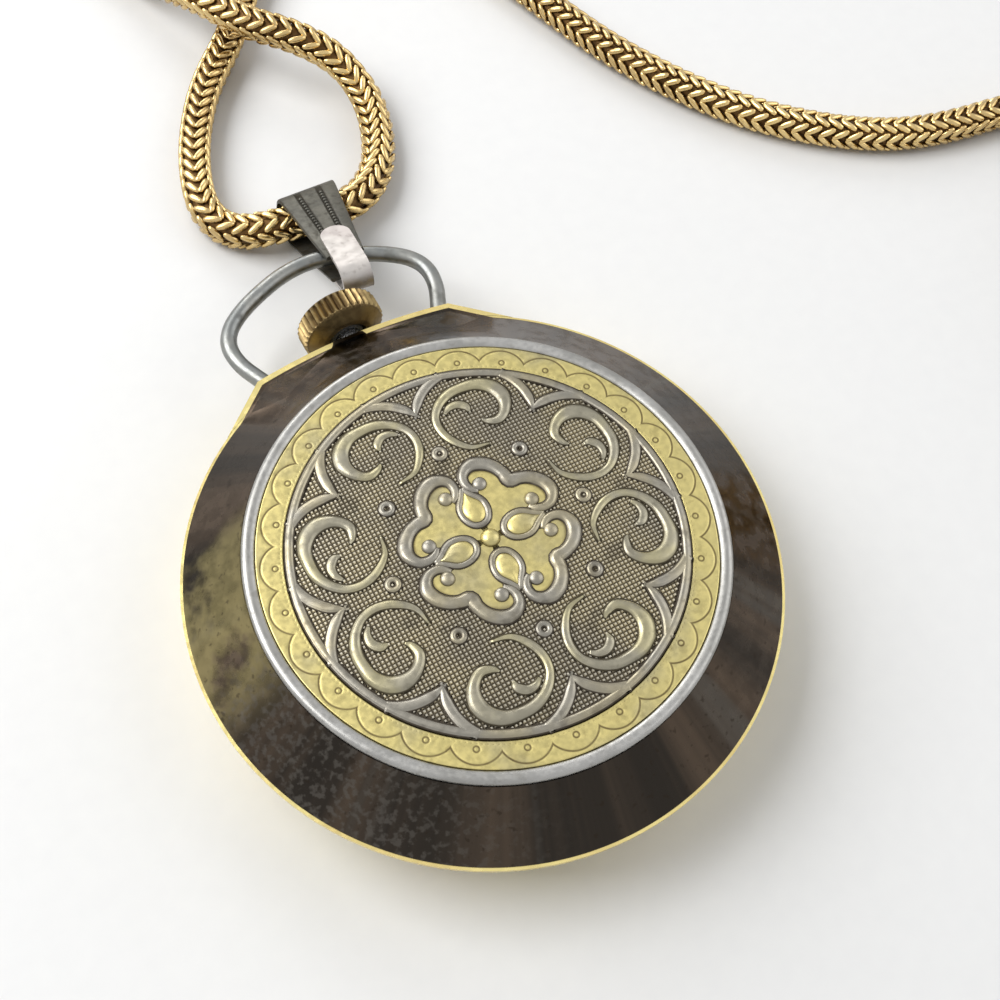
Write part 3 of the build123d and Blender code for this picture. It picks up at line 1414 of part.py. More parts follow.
# Bail leaf: a sheet folded round the chain, tapering to its narrow end at the bow
profile_plane = Plane(bow_bar, x_dir=bail_along, z_dir=bail_across)
plan_plane = Plane(bow_bar, x_dir=bail_along, z_dir=bail_across.cross(bail_along))
leaf_throat = bow_wire_radius + leaf_fit
leaf_start = -leaf_back_reach
leaf_run = bail_reach - leaf_start
throat_distance = hypot(leaf_run, leaf_throat)
leaf_rise = asin(leaf_loop_radius / throat_distance) - atan2(leaf_throat, leaf_run)
leaf_length = sqrt(throat_distance ** 2 - leaf_loop_radius ** 2)
sheet_offset = (-leaf_sheet * sin(leaf_rise), leaf_sheet * cos(leaf_rise))
inner_start = (leaf_start, leaf_throat)
inner_end = shifted(inner_start, (leaf_length * cos(leaf_rise), leaf_length * sin(leaf_rise)))
outer_start = shifted(inner_start, sheet_offset)
outer_end = shifted(inner_end, sheet_offset)


def mirrored(point):
    """Point on the other side of the leaf's middle line."""
    return (point[0], -point[1])


with BuildPart() as bail_leaf:
    with BuildSketch(profile_plane):
        with BuildLine():
            Line(outer_start, outer_end)
            ThreePointArc(outer_end, (bail_reach + leaf_outer_radius, 0), mirrored(outer_end))
            Polyline(
                mirrored(outer_end), mirrored(outer_start), mirrored(inner_start),
                mirrored(inner_end),
            )
            ThreePointArc(mirrored(inner_end), (bail_reach + leaf_loop_radius, 0), inner_end)
            Polyline(inner_end, inner_start, outer_start)
        make_face()
    extrude(amount=leaf_wide_half + overrun, both=True)
    with BuildSketch(plan_plane):
        with BuildLine():
            Polyline(
                (leaf_start - overrun, -leaf_narrow_half),
                (leaf_start, -leaf_narrow_half),
                (bail_reach + leaf_outer_radius, -leaf_wide_half),
                (bail_reach + leaf_outer_radius, leaf_wide_half),
                (leaf_start, leaf_narrow_half),
                (leaf_start - overrun, leaf_narrow_half),
                close=True,
            )
        make_face()
    extrude(amount=leaf_outer_radius + overrun, both=True, mode=Mode.INTERSECT)
save(bail_leaf, "bail_leaf")

# Bail strap: a narrow band folded round the bow, its rounded ends soldered on the leaf
def strap_inside(reach):
    """Half height inside the strap at a reach from the bow's wire."""
    return outer_start[1] + (reach - outer_start[0]) * tan(leaf_rise) + strap_gap


strap_corners = [
    (strap_tip_reach, strap_inside(strap_tip_reach) + strap_sheet),
    (-strap_back_reach, strap_inside(-strap_back_reach) + strap_sheet),
    (-strap_back_reach, strap_inside(-strap_back_reach)),
    (strap_tip_reach, strap_inside(strap_tip_reach)),
]
strap_bend = strap_corners[1][1]
with BuildPart() as bail_strap:
    with BuildSketch(profile_plane):
        with BuildLine():
            Line(strap_corners[0], strap_corners[1])
            ThreePointArc(
                strap_corners[1], (-strap_back_reach - strap_bend, 0), mirrored(strap_corners[1]))
            Polyline(
                mirrored(strap_corners[1]), mirrored(strap_corners[0]), mirrored(strap_corners[3]),
                mirrored(strap_corners[2]),
            )
            ThreePointArc(
                mirrored(strap_corners[2]), (-strap_back_reach - strap_bend + strap_sheet, 0),
                strap_corners[2])
            Polyline(strap_corners[2], strap_corners[3], strap_corners[0])
        make_face()
    extrude(amount=strap_half_width, both=True)
    with BuildSketch(plan_plane):
        with Locations((-strap_back_reach - strap_bend, 0)):
            Rectangle(
                strap_back_reach + strap_bend + strap_tip_reach - strap_half_width,
                2 * strap_half_width, align=(Align.MIN, Align.CENTER),
            )
        with Locations((strap_tip_reach - strap_half_width, 0)):
            Circle(strap_half_width)
    extrude(amount=strap_corners[0][1] + overrun, both=True, mode=Mode.INTERSECT)
save(bail_strap, "bail_strap")


def corner_radii(points):
    """Radius of the arc at each inner point of a route."""
    radii = []
    for before, corner, after in zip(points, points[1:], points[2:]):
        run_in = corner - before
        run_out = after - corner
        turn = radians(run_in.get_angle(run_out))
        radii.append(corner_share * min(run_in.length, run_out.length) / tan(turn / 2))
    return radii


def strand(points, name):
    """A chain strand as a tube along straight runs joined by tangent arcs."""
    radii = corner_radii(points)
    with BuildPart() as piece:
        with BuildLine() as route:
            FilletPolyline(*points, radius=radii)
        path = route.wire()
        with BuildSketch(Plane(path @ 0, z_dir=path % 0)):
            Circle(chain_radius)
        sweep(path=path)
    full = pi * chain_radius ** 2 * path.length
    print(f"{name}: length {path.length:.1f}, radii {[round(r, 1) for r in radii]}, "
          f"volume share {piece.part.volume / full:.4f}")
    return piece


# The two strands meet inside the bail's fold, where the chain runs straight across the leaf
chain_join = bow_bar + bail_along * bail_reach
short_start = [chain_join, chain_join + bail_across * fold_run]
long_start = [chain_join, chain_join - bail_across * fold_run]
short_points = short_start + [Vector(*point) for point in short_route]
long_points = long_start + [Vector(*point) for point in long_route]
chain_short_strand = strand(short_points, "chain_short_strand")
save(chain_short_strand, "chain_short_strand")
chain_long_strand = strand(long_points, "chain_long_strand")
save(chain_long_strand, "chain_long_strand")

# Coil of the put-away length: half turns spiral in, one climbs a layer, and the rest spiral out
layer_step = chain_diameter + layer_gap
coil_start = long_points[-1]
with BuildPart() as chain_coil:
    with BuildLine() as coil_line:
        spot = coil_start
        radius = coil_outer_radius
        side = 1
        for half_turn in range(coil_inward_half_turns):
            end = spot - Vector(0, 2 * radius * side, 0)
            ThreePointArc(spot, (spot + end) / 2 + Vector(radius * side, 0, 0), end)
            spot = end
            side = -side
            radius -= layer_step / 2
        climb_end = spot + Vector(0, -2 * radius * side, layer_step)
        climb_radius = sqrt(radius ** 2 + (layer_step / 2) ** 2)
        climb_middle = (spot + climb_end) / 2 + Vector(climb_radius * side, 0, 0)
        first_climb = TangentArc(spot, climb_middle, tangent=Vector(side, 0, 0))
        TangentArc(climb_middle, climb_end, tangent=first_climb % 1)
        spot = climb_end
        side = -side
        for half_turn in range(coil_outward_half_turns):
            radius += layer_step / 2
            end = spot - Vector(0, 2 * radius * side, 0)
            ThreePointArc(spot, (spot + end) / 2 + Vector(radius * side, 0, 0), end)
            spot = end
            side = -side
    coil_path = coil_line.wire()
    with BuildSketch(Plane(coil_path @ 0, z_dir=coil_path % 0)):
        Circle(chain_radius)
    sweep(path=coil_path)
coil_end = spot
coil_heading = Vector(side, 0, 0)
save(chain_coil, "chain_coil")

# Least gap of the coil to itself, on points a millimetre apart and more than a diameter along
coil_length = coil_path.length
sample_count = int(coil_length)
samples = [coil_path @ (index / sample_count) for index in range(sample_count + 1)]
skip = int(2 * chain_diameter)
least_gap = min(
    (samples[one] - samples[other]).length
    for one in range(len(samples))
    for other in range(one + skip, len(samples))
) - chain_diameter
print(f"chain_coil: length {coil_length:.1f}, least gap {least_gap:.2f}, volume share "
      f"{chain_coil.part.volume / (pi * chain_radius ** 2 * coil_length):.4f}")

tail_start = [coil_end, coil_end + coil_heading * tail_run]
tail_points = tail_start + [Vector(*point) for point in tail_route]
chain_tail = strand(tail_points, "chain_tail")
save(chain_tail, "chain_tail")


def chain_end(points):
    """Plane at a strand's end, its x direction along the strand."""
    heading = (points[-1] - points[-2]).normalized()
    flat_heading = Vector(heading.X, heading.Y, 0).normalized()
    return Plane(points[-1], x_dir=flat_heading, z_dir=(0, 0, 1))


# End caps: a sleeve on the chain's end, a cone and an eye
eye_centre = cap_floor + cap_cone + eye_radius
with BuildPart() as chain_end_caps:
    for end_plane in (chain_end(short_points), chain_end(tail_points)):
        with BuildSketch(end_plane):
            with BuildLine():
                Polyline(
                    (-cap_sleeve, chain_radius + cap_fit),
                    (-cap_sleeve, chain_radius + cap_fit + cap_wall),
                    (cap_floor, chain_radius + cap_fit + cap_wall),
                    (cap_floor + cap_cone, cap_neck_radius),
                    (cap_floor + cap_cone, 0),
                    (0, 0),
                    (0, chain_radius + cap_fit),
                    close=True,
                )
            make_face()
        revolve(axis=Axis(end_plane.origin, end_plane.x_dir))
        eye_plane = Plane(
            end_plane.from_local_coords((eye_centre, 0, 0)), x_dir=end_plane.x_dir, z_dir=(0, 0, 1))
        with BuildSketch(Plane(eye_plane.origin, x_dir=eye_plane.x_dir, z_dir=eye_plane.y_dir)):
            with Locations((eye_radius, 0)):
                Circle(eye_wire)
        revolve(axis=Axis(eye_plane.origin, (0, 0, 1)))
save(chain_end_caps, "chain_end_caps")

# Jump rings, standing in the caps' eyes
with BuildPart() as jump_rings:
    for end_plane in (chain_end(short_points), chain_end(tail_points)):
        ring_centre = end_plane.from_local_coords((eye_centre + jump_ring_radius, 0, 0))
        with BuildSketch(Plane(ring_centre, x_dir=(0, 0, 1), z_dir=end_plane.x_dir)):
            with Locations((jump_ring_radius, 0)):
                Circle(eye_wire)
        revolve(axis=Axis(ring_centre, end_plane.y_dir))
save(jump_rings, "jump_rings")

# Spring ring clasp: a hollow ring with a mouth, an eye, and a slot for the thumb knob
clasp_line = chain_end(short_points)
clasp_eye_x = eye_centre + 2 * jump_ring_radius
clasp_centre_x = clasp_eye_x + eye_radius + clasp_radius + clasp_tube_radius
clasp_drop = end_height - clasp_height
clasp_centre = clasp_line.from_local_coords((clasp_centre_x, 0, -clasp_drop))
clasp_plane = Plane(clasp_centre, x_dir=clasp_line.x_dir, z_dir=(0, 0, 1))
tube_start = clasp_mouth / 2


def ring_section(bearing):
    """Plane across the clasp's ring at a bearing from its far side."""
    turned = clasp_plane.rotated((0, 0, bearing))
    return Plane(clasp_centre, x_dir=turned.x_dir, z_dir=-turned.y_dir)


clasp_axis = Axis(clasp_centre, (0, 0, 1))
with BuildPart() as clasp_ring:
    with BuildSketch(ring_section(tube_start)):
        with Locations((clasp_radius, 0)):
            Circle(clasp_tube_radius)
    revolve(axis=clasp_axis, revolution_arc=360 - clasp_mouth)
    eye_origin = clasp_line.from_local_coords((clasp_eye_x, 0, -clasp_drop))
    with BuildSketch(Plane(eye_origin, x_dir=clasp_line.x_dir, z_dir=clasp_line.y_dir)):
        with Locations((eye_radius, 0)):
            Circle(eye_wire)
    revolve(axis=Axis(eye_origin, (0, 0, 1)))
    with BuildSketch(ring_section(tube_start)):
        with Locations((clasp_radius, 0)):
            Circle(clasp_bore)
    revolve(axis=clasp_axis, revolution_arc=360 - clasp_mouth, mode=Mode.SUBTRACT)
    with BuildSketch(ring_section(tube_start)):
        with Locations((clasp_radius + clasp_tube_radius, 0)):
            Rectangle(2 * clasp_tube_radius, 2 * (clasp_knob_radius + cap_fit))
    revolve(axis=clasp_axis, revolution_arc=clasp_slot, mode=Mode.SUBTRACT)
save(clasp_ring, "clasp_ring")

# Sliding bolt of the clasp with its thumb knob
knob_bearing = tube_start + clasp_knob_back
with BuildPart() as clasp_bolt:
    with BuildSketch(ring_section(-tube_start - clasp_bolt_lap)):
        with Locations((clasp_radius, 0)):
            Circle(clasp_bolt_radius)
    revolve(axis=clasp_axis, revolution_arc=clasp_bolt_lap + clasp_mouth + clasp_bolt_hidden)
    knob_direction = clasp_plane.rotated((0, 0, knob_bearing)).x_dir
    with BuildSketch(Plane(clasp_centre + knob_direction * clasp_radius, z_dir=knob_direction)):
        Circle(clasp_knob_radius)
    extrude(amount=clasp_tube_radius + clasp_knob_height)
save(clasp_bolt, "clasp_bolt")
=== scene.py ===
import logging
import math
from collections.abc import Sequence
from dataclasses import dataclass
from enum import Enum

import bpy
import numpy
from mathutils import Matrix, Vector


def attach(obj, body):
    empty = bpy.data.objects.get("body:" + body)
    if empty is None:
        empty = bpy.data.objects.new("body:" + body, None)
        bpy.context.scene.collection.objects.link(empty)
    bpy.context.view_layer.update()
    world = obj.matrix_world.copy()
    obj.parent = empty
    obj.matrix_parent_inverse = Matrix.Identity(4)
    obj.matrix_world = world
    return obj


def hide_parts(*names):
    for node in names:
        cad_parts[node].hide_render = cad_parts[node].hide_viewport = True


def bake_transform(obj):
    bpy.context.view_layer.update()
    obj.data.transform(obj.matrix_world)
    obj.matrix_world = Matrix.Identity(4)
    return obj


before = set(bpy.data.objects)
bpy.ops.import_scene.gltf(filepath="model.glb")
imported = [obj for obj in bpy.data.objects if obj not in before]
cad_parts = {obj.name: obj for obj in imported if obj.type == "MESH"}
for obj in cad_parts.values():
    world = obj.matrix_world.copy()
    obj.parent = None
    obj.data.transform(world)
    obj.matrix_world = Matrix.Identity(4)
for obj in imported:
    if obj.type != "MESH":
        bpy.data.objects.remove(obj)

LOG = logging.getLogger("pendant_watch")
MM = 0.001
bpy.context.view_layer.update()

Colour = tuple[float, float, float]
Place = tuple[float, float, float]
PlanPoint = tuple[float, float]
Rows = numpy.ndarray
Faces = list[tuple[int, ...]]
Piece = bpy.types.Object
Socket = bpy.types.NodeSocket
Value = float | Socket


class Sheen(Enum):
    """How evenly a metal is polished: its lowest and highest roughness."""

    POLISHED = (0.16, 0.32)
    SATIN = (0.28, 0.46)
    DULL = (0.42, 0.62)


class Board:
    """A node tree that is laid out as its nodes are added."""

    def __init__(self, tree: bpy.types.NodeTree) -> None:
        """Work on one tree.

        Args:
            tree: The tree of a material or a world.
        """
        self.tree = tree

    def wire(self, node: bpy.types.Node, inputs: dict[str | int, object]) -> None:
        """Set or link a node's inputs.

        Args:
            node: The node.
            inputs: Sockets, numbers, vectors or colours, by the input's name or number.
        """
        for name, value in inputs.items():
            target = node.inputs[name]
            if isinstance(value, Socket):
                self.tree.links.new(value, target)
            elif target.type == "RGBA":
                target.default_value = (*value, 1.0)
            else:
                target.default_value = value

    def node(self, kind: str, inputs: dict[str | int, object] | None = None,
             **settings: str) -> bpy.types.Node:
        """Add a node.

        Args:
            kind: The node's type, without its ShaderNode prefix.
            inputs: What its inputs hold, as for wire.
            **settings: Properties of the node.

        Returns:
            The new node.
        """
        made = self.tree.nodes.new("ShaderNode" + kind)
        for name, value in settings.items():
            setattr(made, name, value)
        self.wire(made, inputs or {})
        return made

    def own_place(self) -> Socket:
        """The place on the piece, in its own coordinates."""
        return self.node("TexCoord").outputs["Object"]

    def noise(self, scale: float, detail: float = 3.0, stretch: Place = (1.0, 1.0, 1.0)) -> Socket:
        """Noise over the piece's own coordinates.

        Args:
            scale: Cells per millimetre.
            detail: Octaves of the noise.
            stretch: Scale of each axis.

        Returns:
            The noise value's socket.
        """
        mapped = self.node("Mapping", {"Vector": self.own_place(), "Scale": stretch})
        cells = {"Vector": mapped.outputs[0], "Scale": scale / MM, "Detail": detail}
        return self.node("TexNoise", cells).outputs[0]

    def maths(self, operation: str, *values: Value) -> Socket:
        """One arithmetic step.

        Args:
            operation: The Math node's operation.
            *values: Its numbers or sockets.

        Returns:
            The result's socket.
        """
        return self.node("Math", dict(enumerate(values)), operation=operation).outputs[0]

    def times(self, product: Value, *factors: Value) -> Socket:
        """Multiply numbers or sockets, one after the other.

        Args:
            product: What is multiplied first.
            *factors: What it is multiplied by.

        Returns:
            The product's socket.
        """
        for factor in factors:
            product = self.maths("MULTIPLY", product, factor)
        return product

    def span(self, value: Value, low: float, high: float, start: float = 0.0,
             end: float = 1.0) -> Socket:
        """Stretch a value from one range to another, smoothly and clamped.

        Args:
            value: The value to stretch.
            low: Value that becomes start.
            high: Value that becomes end.
            start: Result at low.
            end: Result at high.

        Returns:
            The result's socket.
        """
        inputs = {0: value, 1: low, 2: high, 3: start, 4: end}
        return self.node("MapRange", inputs, interpolation_type="SMOOTHSTEP").outputs[0]

    def mix(self, factor: Value, first: Colour | Socket, second: Colour | Socket) -> Socket:
        """Mix two colours.

        Args:
            factor: Share of the second colour.
            first: First colour.
            second: Second colour.

        Returns:
            The mixed colour's socket.
        """
        return self.node("Mix", {0: factor, 6: first, 7: second}, data_type="RGBA").outputs[2]

    def bump(self, height: Socket, distance: float, strength: float = 1.0) -> Socket:
        """Turn a height into the direction that a bumpy surface faces.

        Args:
            height: Height from 0 to 1.
            distance: Depth in millimetres.
            strength: Strength of the bump.

        Returns:
            The direction's socket.
        """
        inputs = {"Height": height, "Distance": distance * MM, "Strength": strength}
        return self.node("Bump", inputs).outputs[0]

    def shade(self, inputs: dict[str | int, object]) -> None:
        """Set or link inputs of the material's shader.

        Args:
            inputs: What they hold, as for wire.
        """
        self.wire(self.tree.nodes["Principled BSDF"], inputs)


class Finish:
    """A finish whose material is laid out once, however many pieces wear it."""

    name: str
    built: dict[str, bpy.types.Material] = {}

    def material(self) -> bpy.types.Material:
        """Hand back the finish's material, laid out the first time.

        Returns:
            The material.
        """
        if self.name not in self.built:
            material = bpy.data.materials.new("finish_" + self.name)
            material.use_nodes = True
            self.lay_out(Board(material.node_tree))
            self.built[self.name] = material
        return self.built[self.name]

    def lay_out(self, board: Board) -> None:
        """Lay out the material, as each kind of finish does in its own way."""
        raise NotImplementedError


@dataclass(frozen=True)
class Metal(Finish):
    """A worn or plated metal: two tones in patches, tarnish and painted shade in the hollows, fine
    scratches.
    """

    name: str
    tone: Colour
    second_tone: Colour
    tarnish_and_shade: Colour = (0.05, 0.035, 0.02)
    sheen: Sheen = Sheen.SATIN
    patch_scale: float = 0.35
    patch_share: float = 0.5
    tarnish_share: float = 0.35
    spot_scale: float = 1.6
    grain: Place = (1.0, 1.0, 1.0)
    grain_scale: float = 9.0
    bump: float = 0.004
    relief_end: float = 0.0

    PATCH_EDGE = 0.12
    SPOTS = (0.56, 0.68)
    GRAIN = (0.3, 0.7)
    FOOT_SHARE = 0.94
    FOOT_GRAIN = (0.1, 0.5, 0.75, 1.0)
    FOOT_ROUGHNESS = 0.25
    SPOT_ROUGHNESS = 0.3

    def lay_out(self, board: Board) -> None:
        """Lay out the tones, the tarnish, the painted shade and the scratches.

        Args:
            board: The material's nodes.
        """
        middle = 1.0 - self.patch_share
        patches = board.span(board.noise(self.patch_scale, 4.0),
                             middle - self.PATCH_EDGE, middle + self.PATCH_EDGE)
        colour = board.mix(patches, self.tone, self.second_tone)
        spots = board.span(board.noise(self.spot_scale, 6.0), *self.SPOTS, 0.0, self.tarnish_share)
        colour = board.mix(spots, colour, self.tarnish_and_shade)
        grain = board.noise(self.grain_scale, 3.0, self.grain)
        rough = board.span(grain, *self.GRAIN, *self.sheen.value)
        if self.relief_end:
            # Low relief turns toward the darker colour: tarnish in the medallion's hollows, painted shade
            # between chain links and on the crown.
            relief = board.node("Attribute", attribute_name="relief").outputs["Fac"]
            foot = board.times(board.span(relief, 0.0, self.relief_end, self.FOOT_SHARE, 0.0),
                               board.span(grain, *self.FOOT_GRAIN))
            colour = board.mix(foot, colour, self.tarnish_and_shade)
            rough = board.maths("ADD", rough, board.times(foot, self.FOOT_ROUGHNESS))
        rough = board.maths("ADD", rough, board.times(spots, self.SPOT_ROUGHNESS))
        board.shade({"Base Color": colour, "Metallic": 1.0, "Roughness": rough,
                     "Normal": board.bump(grain, self.bump)})


@dataclass(frozen=True)
class Glaze(Finish):
    """A clear, lacquered or rubber surface."""

    name: str
    tone: Colour
    second_tone: Colour
    roughness: float
    transmission: float = 0.0
    ior: float = 1.5

    GRAIN_SCALE = 6.0
    GRAIN = (0.2, 0.8)
    GRAIN_DEPTH = 0.002
    SMOOTHEST_SHARE = 0.7

    def lay_out(self, board: Board) -> None:
        """Lay out the tones and a slight unevenness.

        Args:
            board: The material's nodes.
        """
        grain = board.noise(self.GRAIN_SCALE, 4.0)
        rough = board.span(grain, *self.GRAIN, self.roughness * self.SMOOTHEST_SHARE, self.roughness)
        board.shade({"Base Color": board.mix(grain, self.tone, self.second_tone),
                     "Roughness": rough, "Transmission Weight": self.transmission, "IOR": self.ior,
                     "Normal": board.bump(grain, self.GRAIN_DEPTH)})


@dataclass(frozen=True)
class BackSteel(Finish):
    """The back's dark polished cone: brown and pale sweeps round it as painted reflections, gilt at the
    left.

    LEFT, LOW, GILT_START and GILT_END are places in metres at which the wear begins and is full.
    """

    name: str = "back_steel"
    dark: Colour = (0.032, 0.027, 0.022)
    # The brown and the pale streak tone are painted reflections on the polished cone.
    painted_reflection_brown: Colour = (0.086, 0.063, 0.045)
    olive: Colour = (0.164, 0.136, 0.062)
    grey: Colour = (0.108, 0.097, 0.083)
    painted_reflection_streak: Colour = (0.094, 0.085, 0.072)
    pit: Colour = (0.03, 0.022, 0.015)

    LEFT = (-2.0 * MM, -13.0 * MM)
    LOW = (2.0 * MM, -4.0 * MM)
    GILT_START = (-3.5 * MM, 0.5 * MM)
    GILT_END = (8.5 * MM, 6.5 * MM)
    # The next two ranges shape the painted reflection sweeps and streaks.
    REFLECTION_SWEEPS = (0.4, 0.62)
    REFLECTION_STREAKS = (0.58, 0.68, 0.0, 0.6)
    GILT = (0.36, 0.52)
    GILT_SHARE = 0.85
    GILT_ROUGHNESS = 0.15
    SPECKS = (0.48, 0.64)
    SPECK_SHARE = 0.6
    PITS = (0.6, 0.7)
    PIT_SHARE = 0.55
    PIT_DEPTH = 0.004
    POLISH = (0.35, 0.7, 0.12, 0.34)

    def lay_out(self, board: Board) -> None:
        """Lay out the painted reflections, the gilt, the specks and the pits.

        Args:
            board: The material's nodes.
        """
        x, y = board.node("SeparateXYZ", {0: board.own_place()}).outputs[:2]
        bearing = board.maths("ARCTAN2", y, x)
        circle_x, circle_y = board.maths("COSINE", bearing), board.maths("SINE", bearing)
        circle = board.node("CombineXYZ", {0: circle_x, 1: circle_y}).outputs[0]
        # Painted reflections: brown sweeps and pale streaks round the polished cone.
        reflection_sweeps = {"Vector": circle, "Scale": 2.6, "Detail": 5.0, "Roughness": 0.6}
        reflection_streaks = {"Vector": circle, "Scale": 7.0, "Detail": 2.0}
        reflection_sweeps, reflection_streaks = (board.node("TexNoise", cells).outputs[0] for cells in (reflection_sweeps, reflection_streaks))
        colour = board.mix(board.span(reflection_sweeps, *self.REFLECTION_SWEEPS), self.dark, self.painted_reflection_brown)
        colour = board.mix(board.span(reflection_streaks, *self.REFLECTION_STREAKS), colour, self.painted_reflection_streak)
        left = board.span(x, *self.LEFT)
        beside = board.times(board.span(y, *self.GILT_START), board.span(y, *self.GILT_END))
        gilt = board.times(board.span(board.noise(0.3, 5.0), *self.GILT), left, beside)
        colour = board.mix(board.times(gilt, self.GILT_SHARE), colour, self.olive)
        low = board.times(board.span(y, *self.LOW), left)
        specks = board.times(board.span(board.noise(2.6, 9.0), *self.SPECKS), low, self.SPECK_SHARE)
        colour = board.mix(specks, colour, self.grey)
        pitted = board.noise(2.4, 7.0)
        pits = board.times(board.span(pitted, *self.PITS), self.PIT_SHARE)
        rough = board.maths("ADD", board.span(board.noise(1.1, 5.0), *self.POLISH),
                            board.times(gilt, self.GILT_ROUGHNESS))
        board.shade({"Base Color": board.mix(pits, colour, self.pit), "Metallic": 1.0,
                     "Roughness": rough, "Normal": board.bump(pitted, self.PIT_DEPTH, 0.6)})


@dataclass(frozen=True)
class Cloth(Finish):
    """The pale table under the watch, which stays pale to the camera far from the lamps."""

    name: str = "pale_table"
    tone: Colour = (0.8, 0.8, 0.79)
    second_tone: Colour = (0.76, 0.76, 0.755)
    roughness: float = 0.65
    lit_radius: float = 0.14
    far_radius: float = 0.6
    far_glow: float = 0.6

    def lay_out(self, board: Board) -> None:
        """Lay out the two tones and the glow of the far table.

        Args:
            board: The material's nodes.
        """
        grain = board.noise(0.8, 5.0)
        away = board.node("VectorMath", {0: board.own_place()}, operation="LENGTH").outputs["Value"]
        seen = board.node("LightPath").outputs["Is Camera Ray"]
        glow = board.times(board.span(away, self.lit_radius, self.far_radius, 0.0, self.far_glow), seen)
        board.shade({"Base Color": board.mix(grain, self.tone, self.second_tone),
                     "Roughness": self.roughness, "Emission Color": self.tone,
                     "Emission Strength": glow, "Normal": board.bump(grain, 0.01, 0.3)})


CHAIN_GOLD = Metal("chain_gold", (0.74, 0.55, 0.249), (0.585, 0.421, 0.189), sheen=Sheen.POLISHED,
                   tarnish_and_shade=(0.1, 0.05, 0.02), patch_scale=0.12, tarnish_share=0.3, grain_scale=3.0,
                   relief_end=0.7)
# A dark tube inside the links, which stands in as painted shade in the gaps between them.
CHAIN_SHADE_CORE = Metal("chain_shade_core", (0.1, 0.055, 0.02), (0.16, 0.09, 0.035), sheen=Sheen.DULL)
GOLD_PLATE = Metal("gold_plate", (0.86, 0.72, 0.3), (0.78, 0.62, 0.25), sheen=Sheen.POLISHED,
                   patch_scale=0.25, tarnish_and_shade=(0.2, 0.14, 0.06), tarnish_share=0.12, spot_scale=0.5,
                   grain_scale=2.0, bump=0.0005)
HATCH = Metal("struck_field", (0.554, 0.504, 0.378), (0.445, 0.412, 0.336), patch_scale=0.2,
              tarnish_and_shade=(0.055, 0.042, 0.028), spot_scale=0.7, relief_end=0.6)
SILVER_RELIEF = Metal("struck_silver", (0.281, 0.263, 0.222), (0.333, 0.296, 0.207), patch_scale=0.3,
                      tarnish_and_shade=(0.05, 0.04, 0.03), spot_scale=1.1, grain_scale=2.6, relief_end=0.55)
SCROLL_RELIEF = Metal("struck_scrolls", (0.367, 0.332, 0.207), (0.304, 0.281, 0.215),
                      patch_scale=0.4, tarnish_and_shade=(0.05, 0.04, 0.025), tarnish_share=0.25,
                      grain_scale=2.6, relief_end=0.55)
GOLD_RELIEF = Metal("struck_gold", (0.57, 0.485, 0.2), (0.4, 0.355, 0.2), patch_scale=0.25,
                    patch_share=0.42, tarnish_and_shade=(0.09, 0.065, 0.03), tarnish_share=0.28,
                    grain_scale=3.0, bump=0.0005, relief_end=0.7)
SILVER_RIM = Metal("silver_rim", (0.396, 0.389, 0.37), (0.317, 0.31, 0.29), patch_scale=0.3,
                   tarnish_share=0.2, grain_scale=4.0, bump=0.002)
BOW_STEEL = Metal("bow_steel", (0.21, 0.217, 0.21), (0.266, 0.266, 0.248), patch_scale=0.5,
                  tarnish_and_shade=(0.05, 0.048, 0.038), spot_scale=0.7, grain_scale=3.0, bump=0.002)
CROWN_BRONZE = Metal("crown_bronze", (0.302, 0.223, 0.101), (0.227, 0.164, 0.076), patch_scale=0.8,
                     tarnish_and_shade=(0.05, 0.028, 0.012), grain_scale=3.0, bump=0.001, relief_end=0.8)
LEAF_STEEL = Metal("leaf_steel", (0.097, 0.094, 0.081), (0.122, 0.117, 0.099), sheen=Sheen.DULL,
                   patch_scale=0.6, tarnish_and_shade=(0.035, 0.03, 0.022), grain_scale=3.0, bump=0.002,
                   relief_end=0.6)
STRAP_SILVER = Metal("strap_silver", (0.475, 0.446, 0.418), (0.41, 0.374, 0.353),
                     sheen=Sheen.DULL, tarnish_share=0.2, grain_scale=2.0, bump=0.002)
NICKEL = Metal("plate_nickel", (0.7, 0.67, 0.6), (0.64, 0.61, 0.54), grain=(0.2, 1.0, 1.0), bump=0.006)
WHEEL_BRASS = Metal("wheel_brass", (0.82, 0.64, 0.3), (0.76, 0.57, 0.27))
BRIGHT_STEEL = Metal("bright_steel", (0.66, 0.66, 0.67), (0.58, 0.58, 0.6), sheen=Sheen.POLISHED)
BLUED_STEEL = Metal("blued_steel", (0.08, 0.12, 0.34), (0.13, 0.11, 0.3), sheen=Sheen.POLISHED)
CRYSTAL = Glaze("crystal_clear", (0.96, 0.98, 0.98), (0.98, 0.98, 0.98), 0.03, transmission=1.0)
SEAL_RUBBER = Glaze("seal_rubber", (0.03, 0.03, 0.03), (0.05, 0.05, 0.05), 0.7)
DIAL_LACQUER = Glaze("dial_lacquer", (0.87, 0.84, 0.75), (0.83, 0.8, 0.7), 0.35)
RUBY = Glaze("ruby", (0.6, 0.03, 0.1), (0.5, 0.02, 0.08), 0.08, transmission=0.4, ior=1.76)
BACK_STEEL = BackSteel()
TABLE = Cloth()


def choose(*pieces: Piece) -> None:
    """Select these pieces alone, the last one active.

    Args:
        *pieces: The pieces, or none to clear the selection.
    """
    bpy.ops.object.select_all(action="DESELECT")
    for piece in pieces:
        piece.select_set(True)
        bpy.context.view_layer.objects.active = piece


def in_scene(name: str, data: bpy.types.ID) -> bpy.types.Object:
    """Put a mesh, a curve, a lamp or a camera into the scene.

    Args:
        name: The object's name.
        data: What it shows.

    Returns:
        The new object.
    """
    made = bpy.data.objects.new(name, data)
    bpy.context.scene.collection.objects.link(made)
    return made


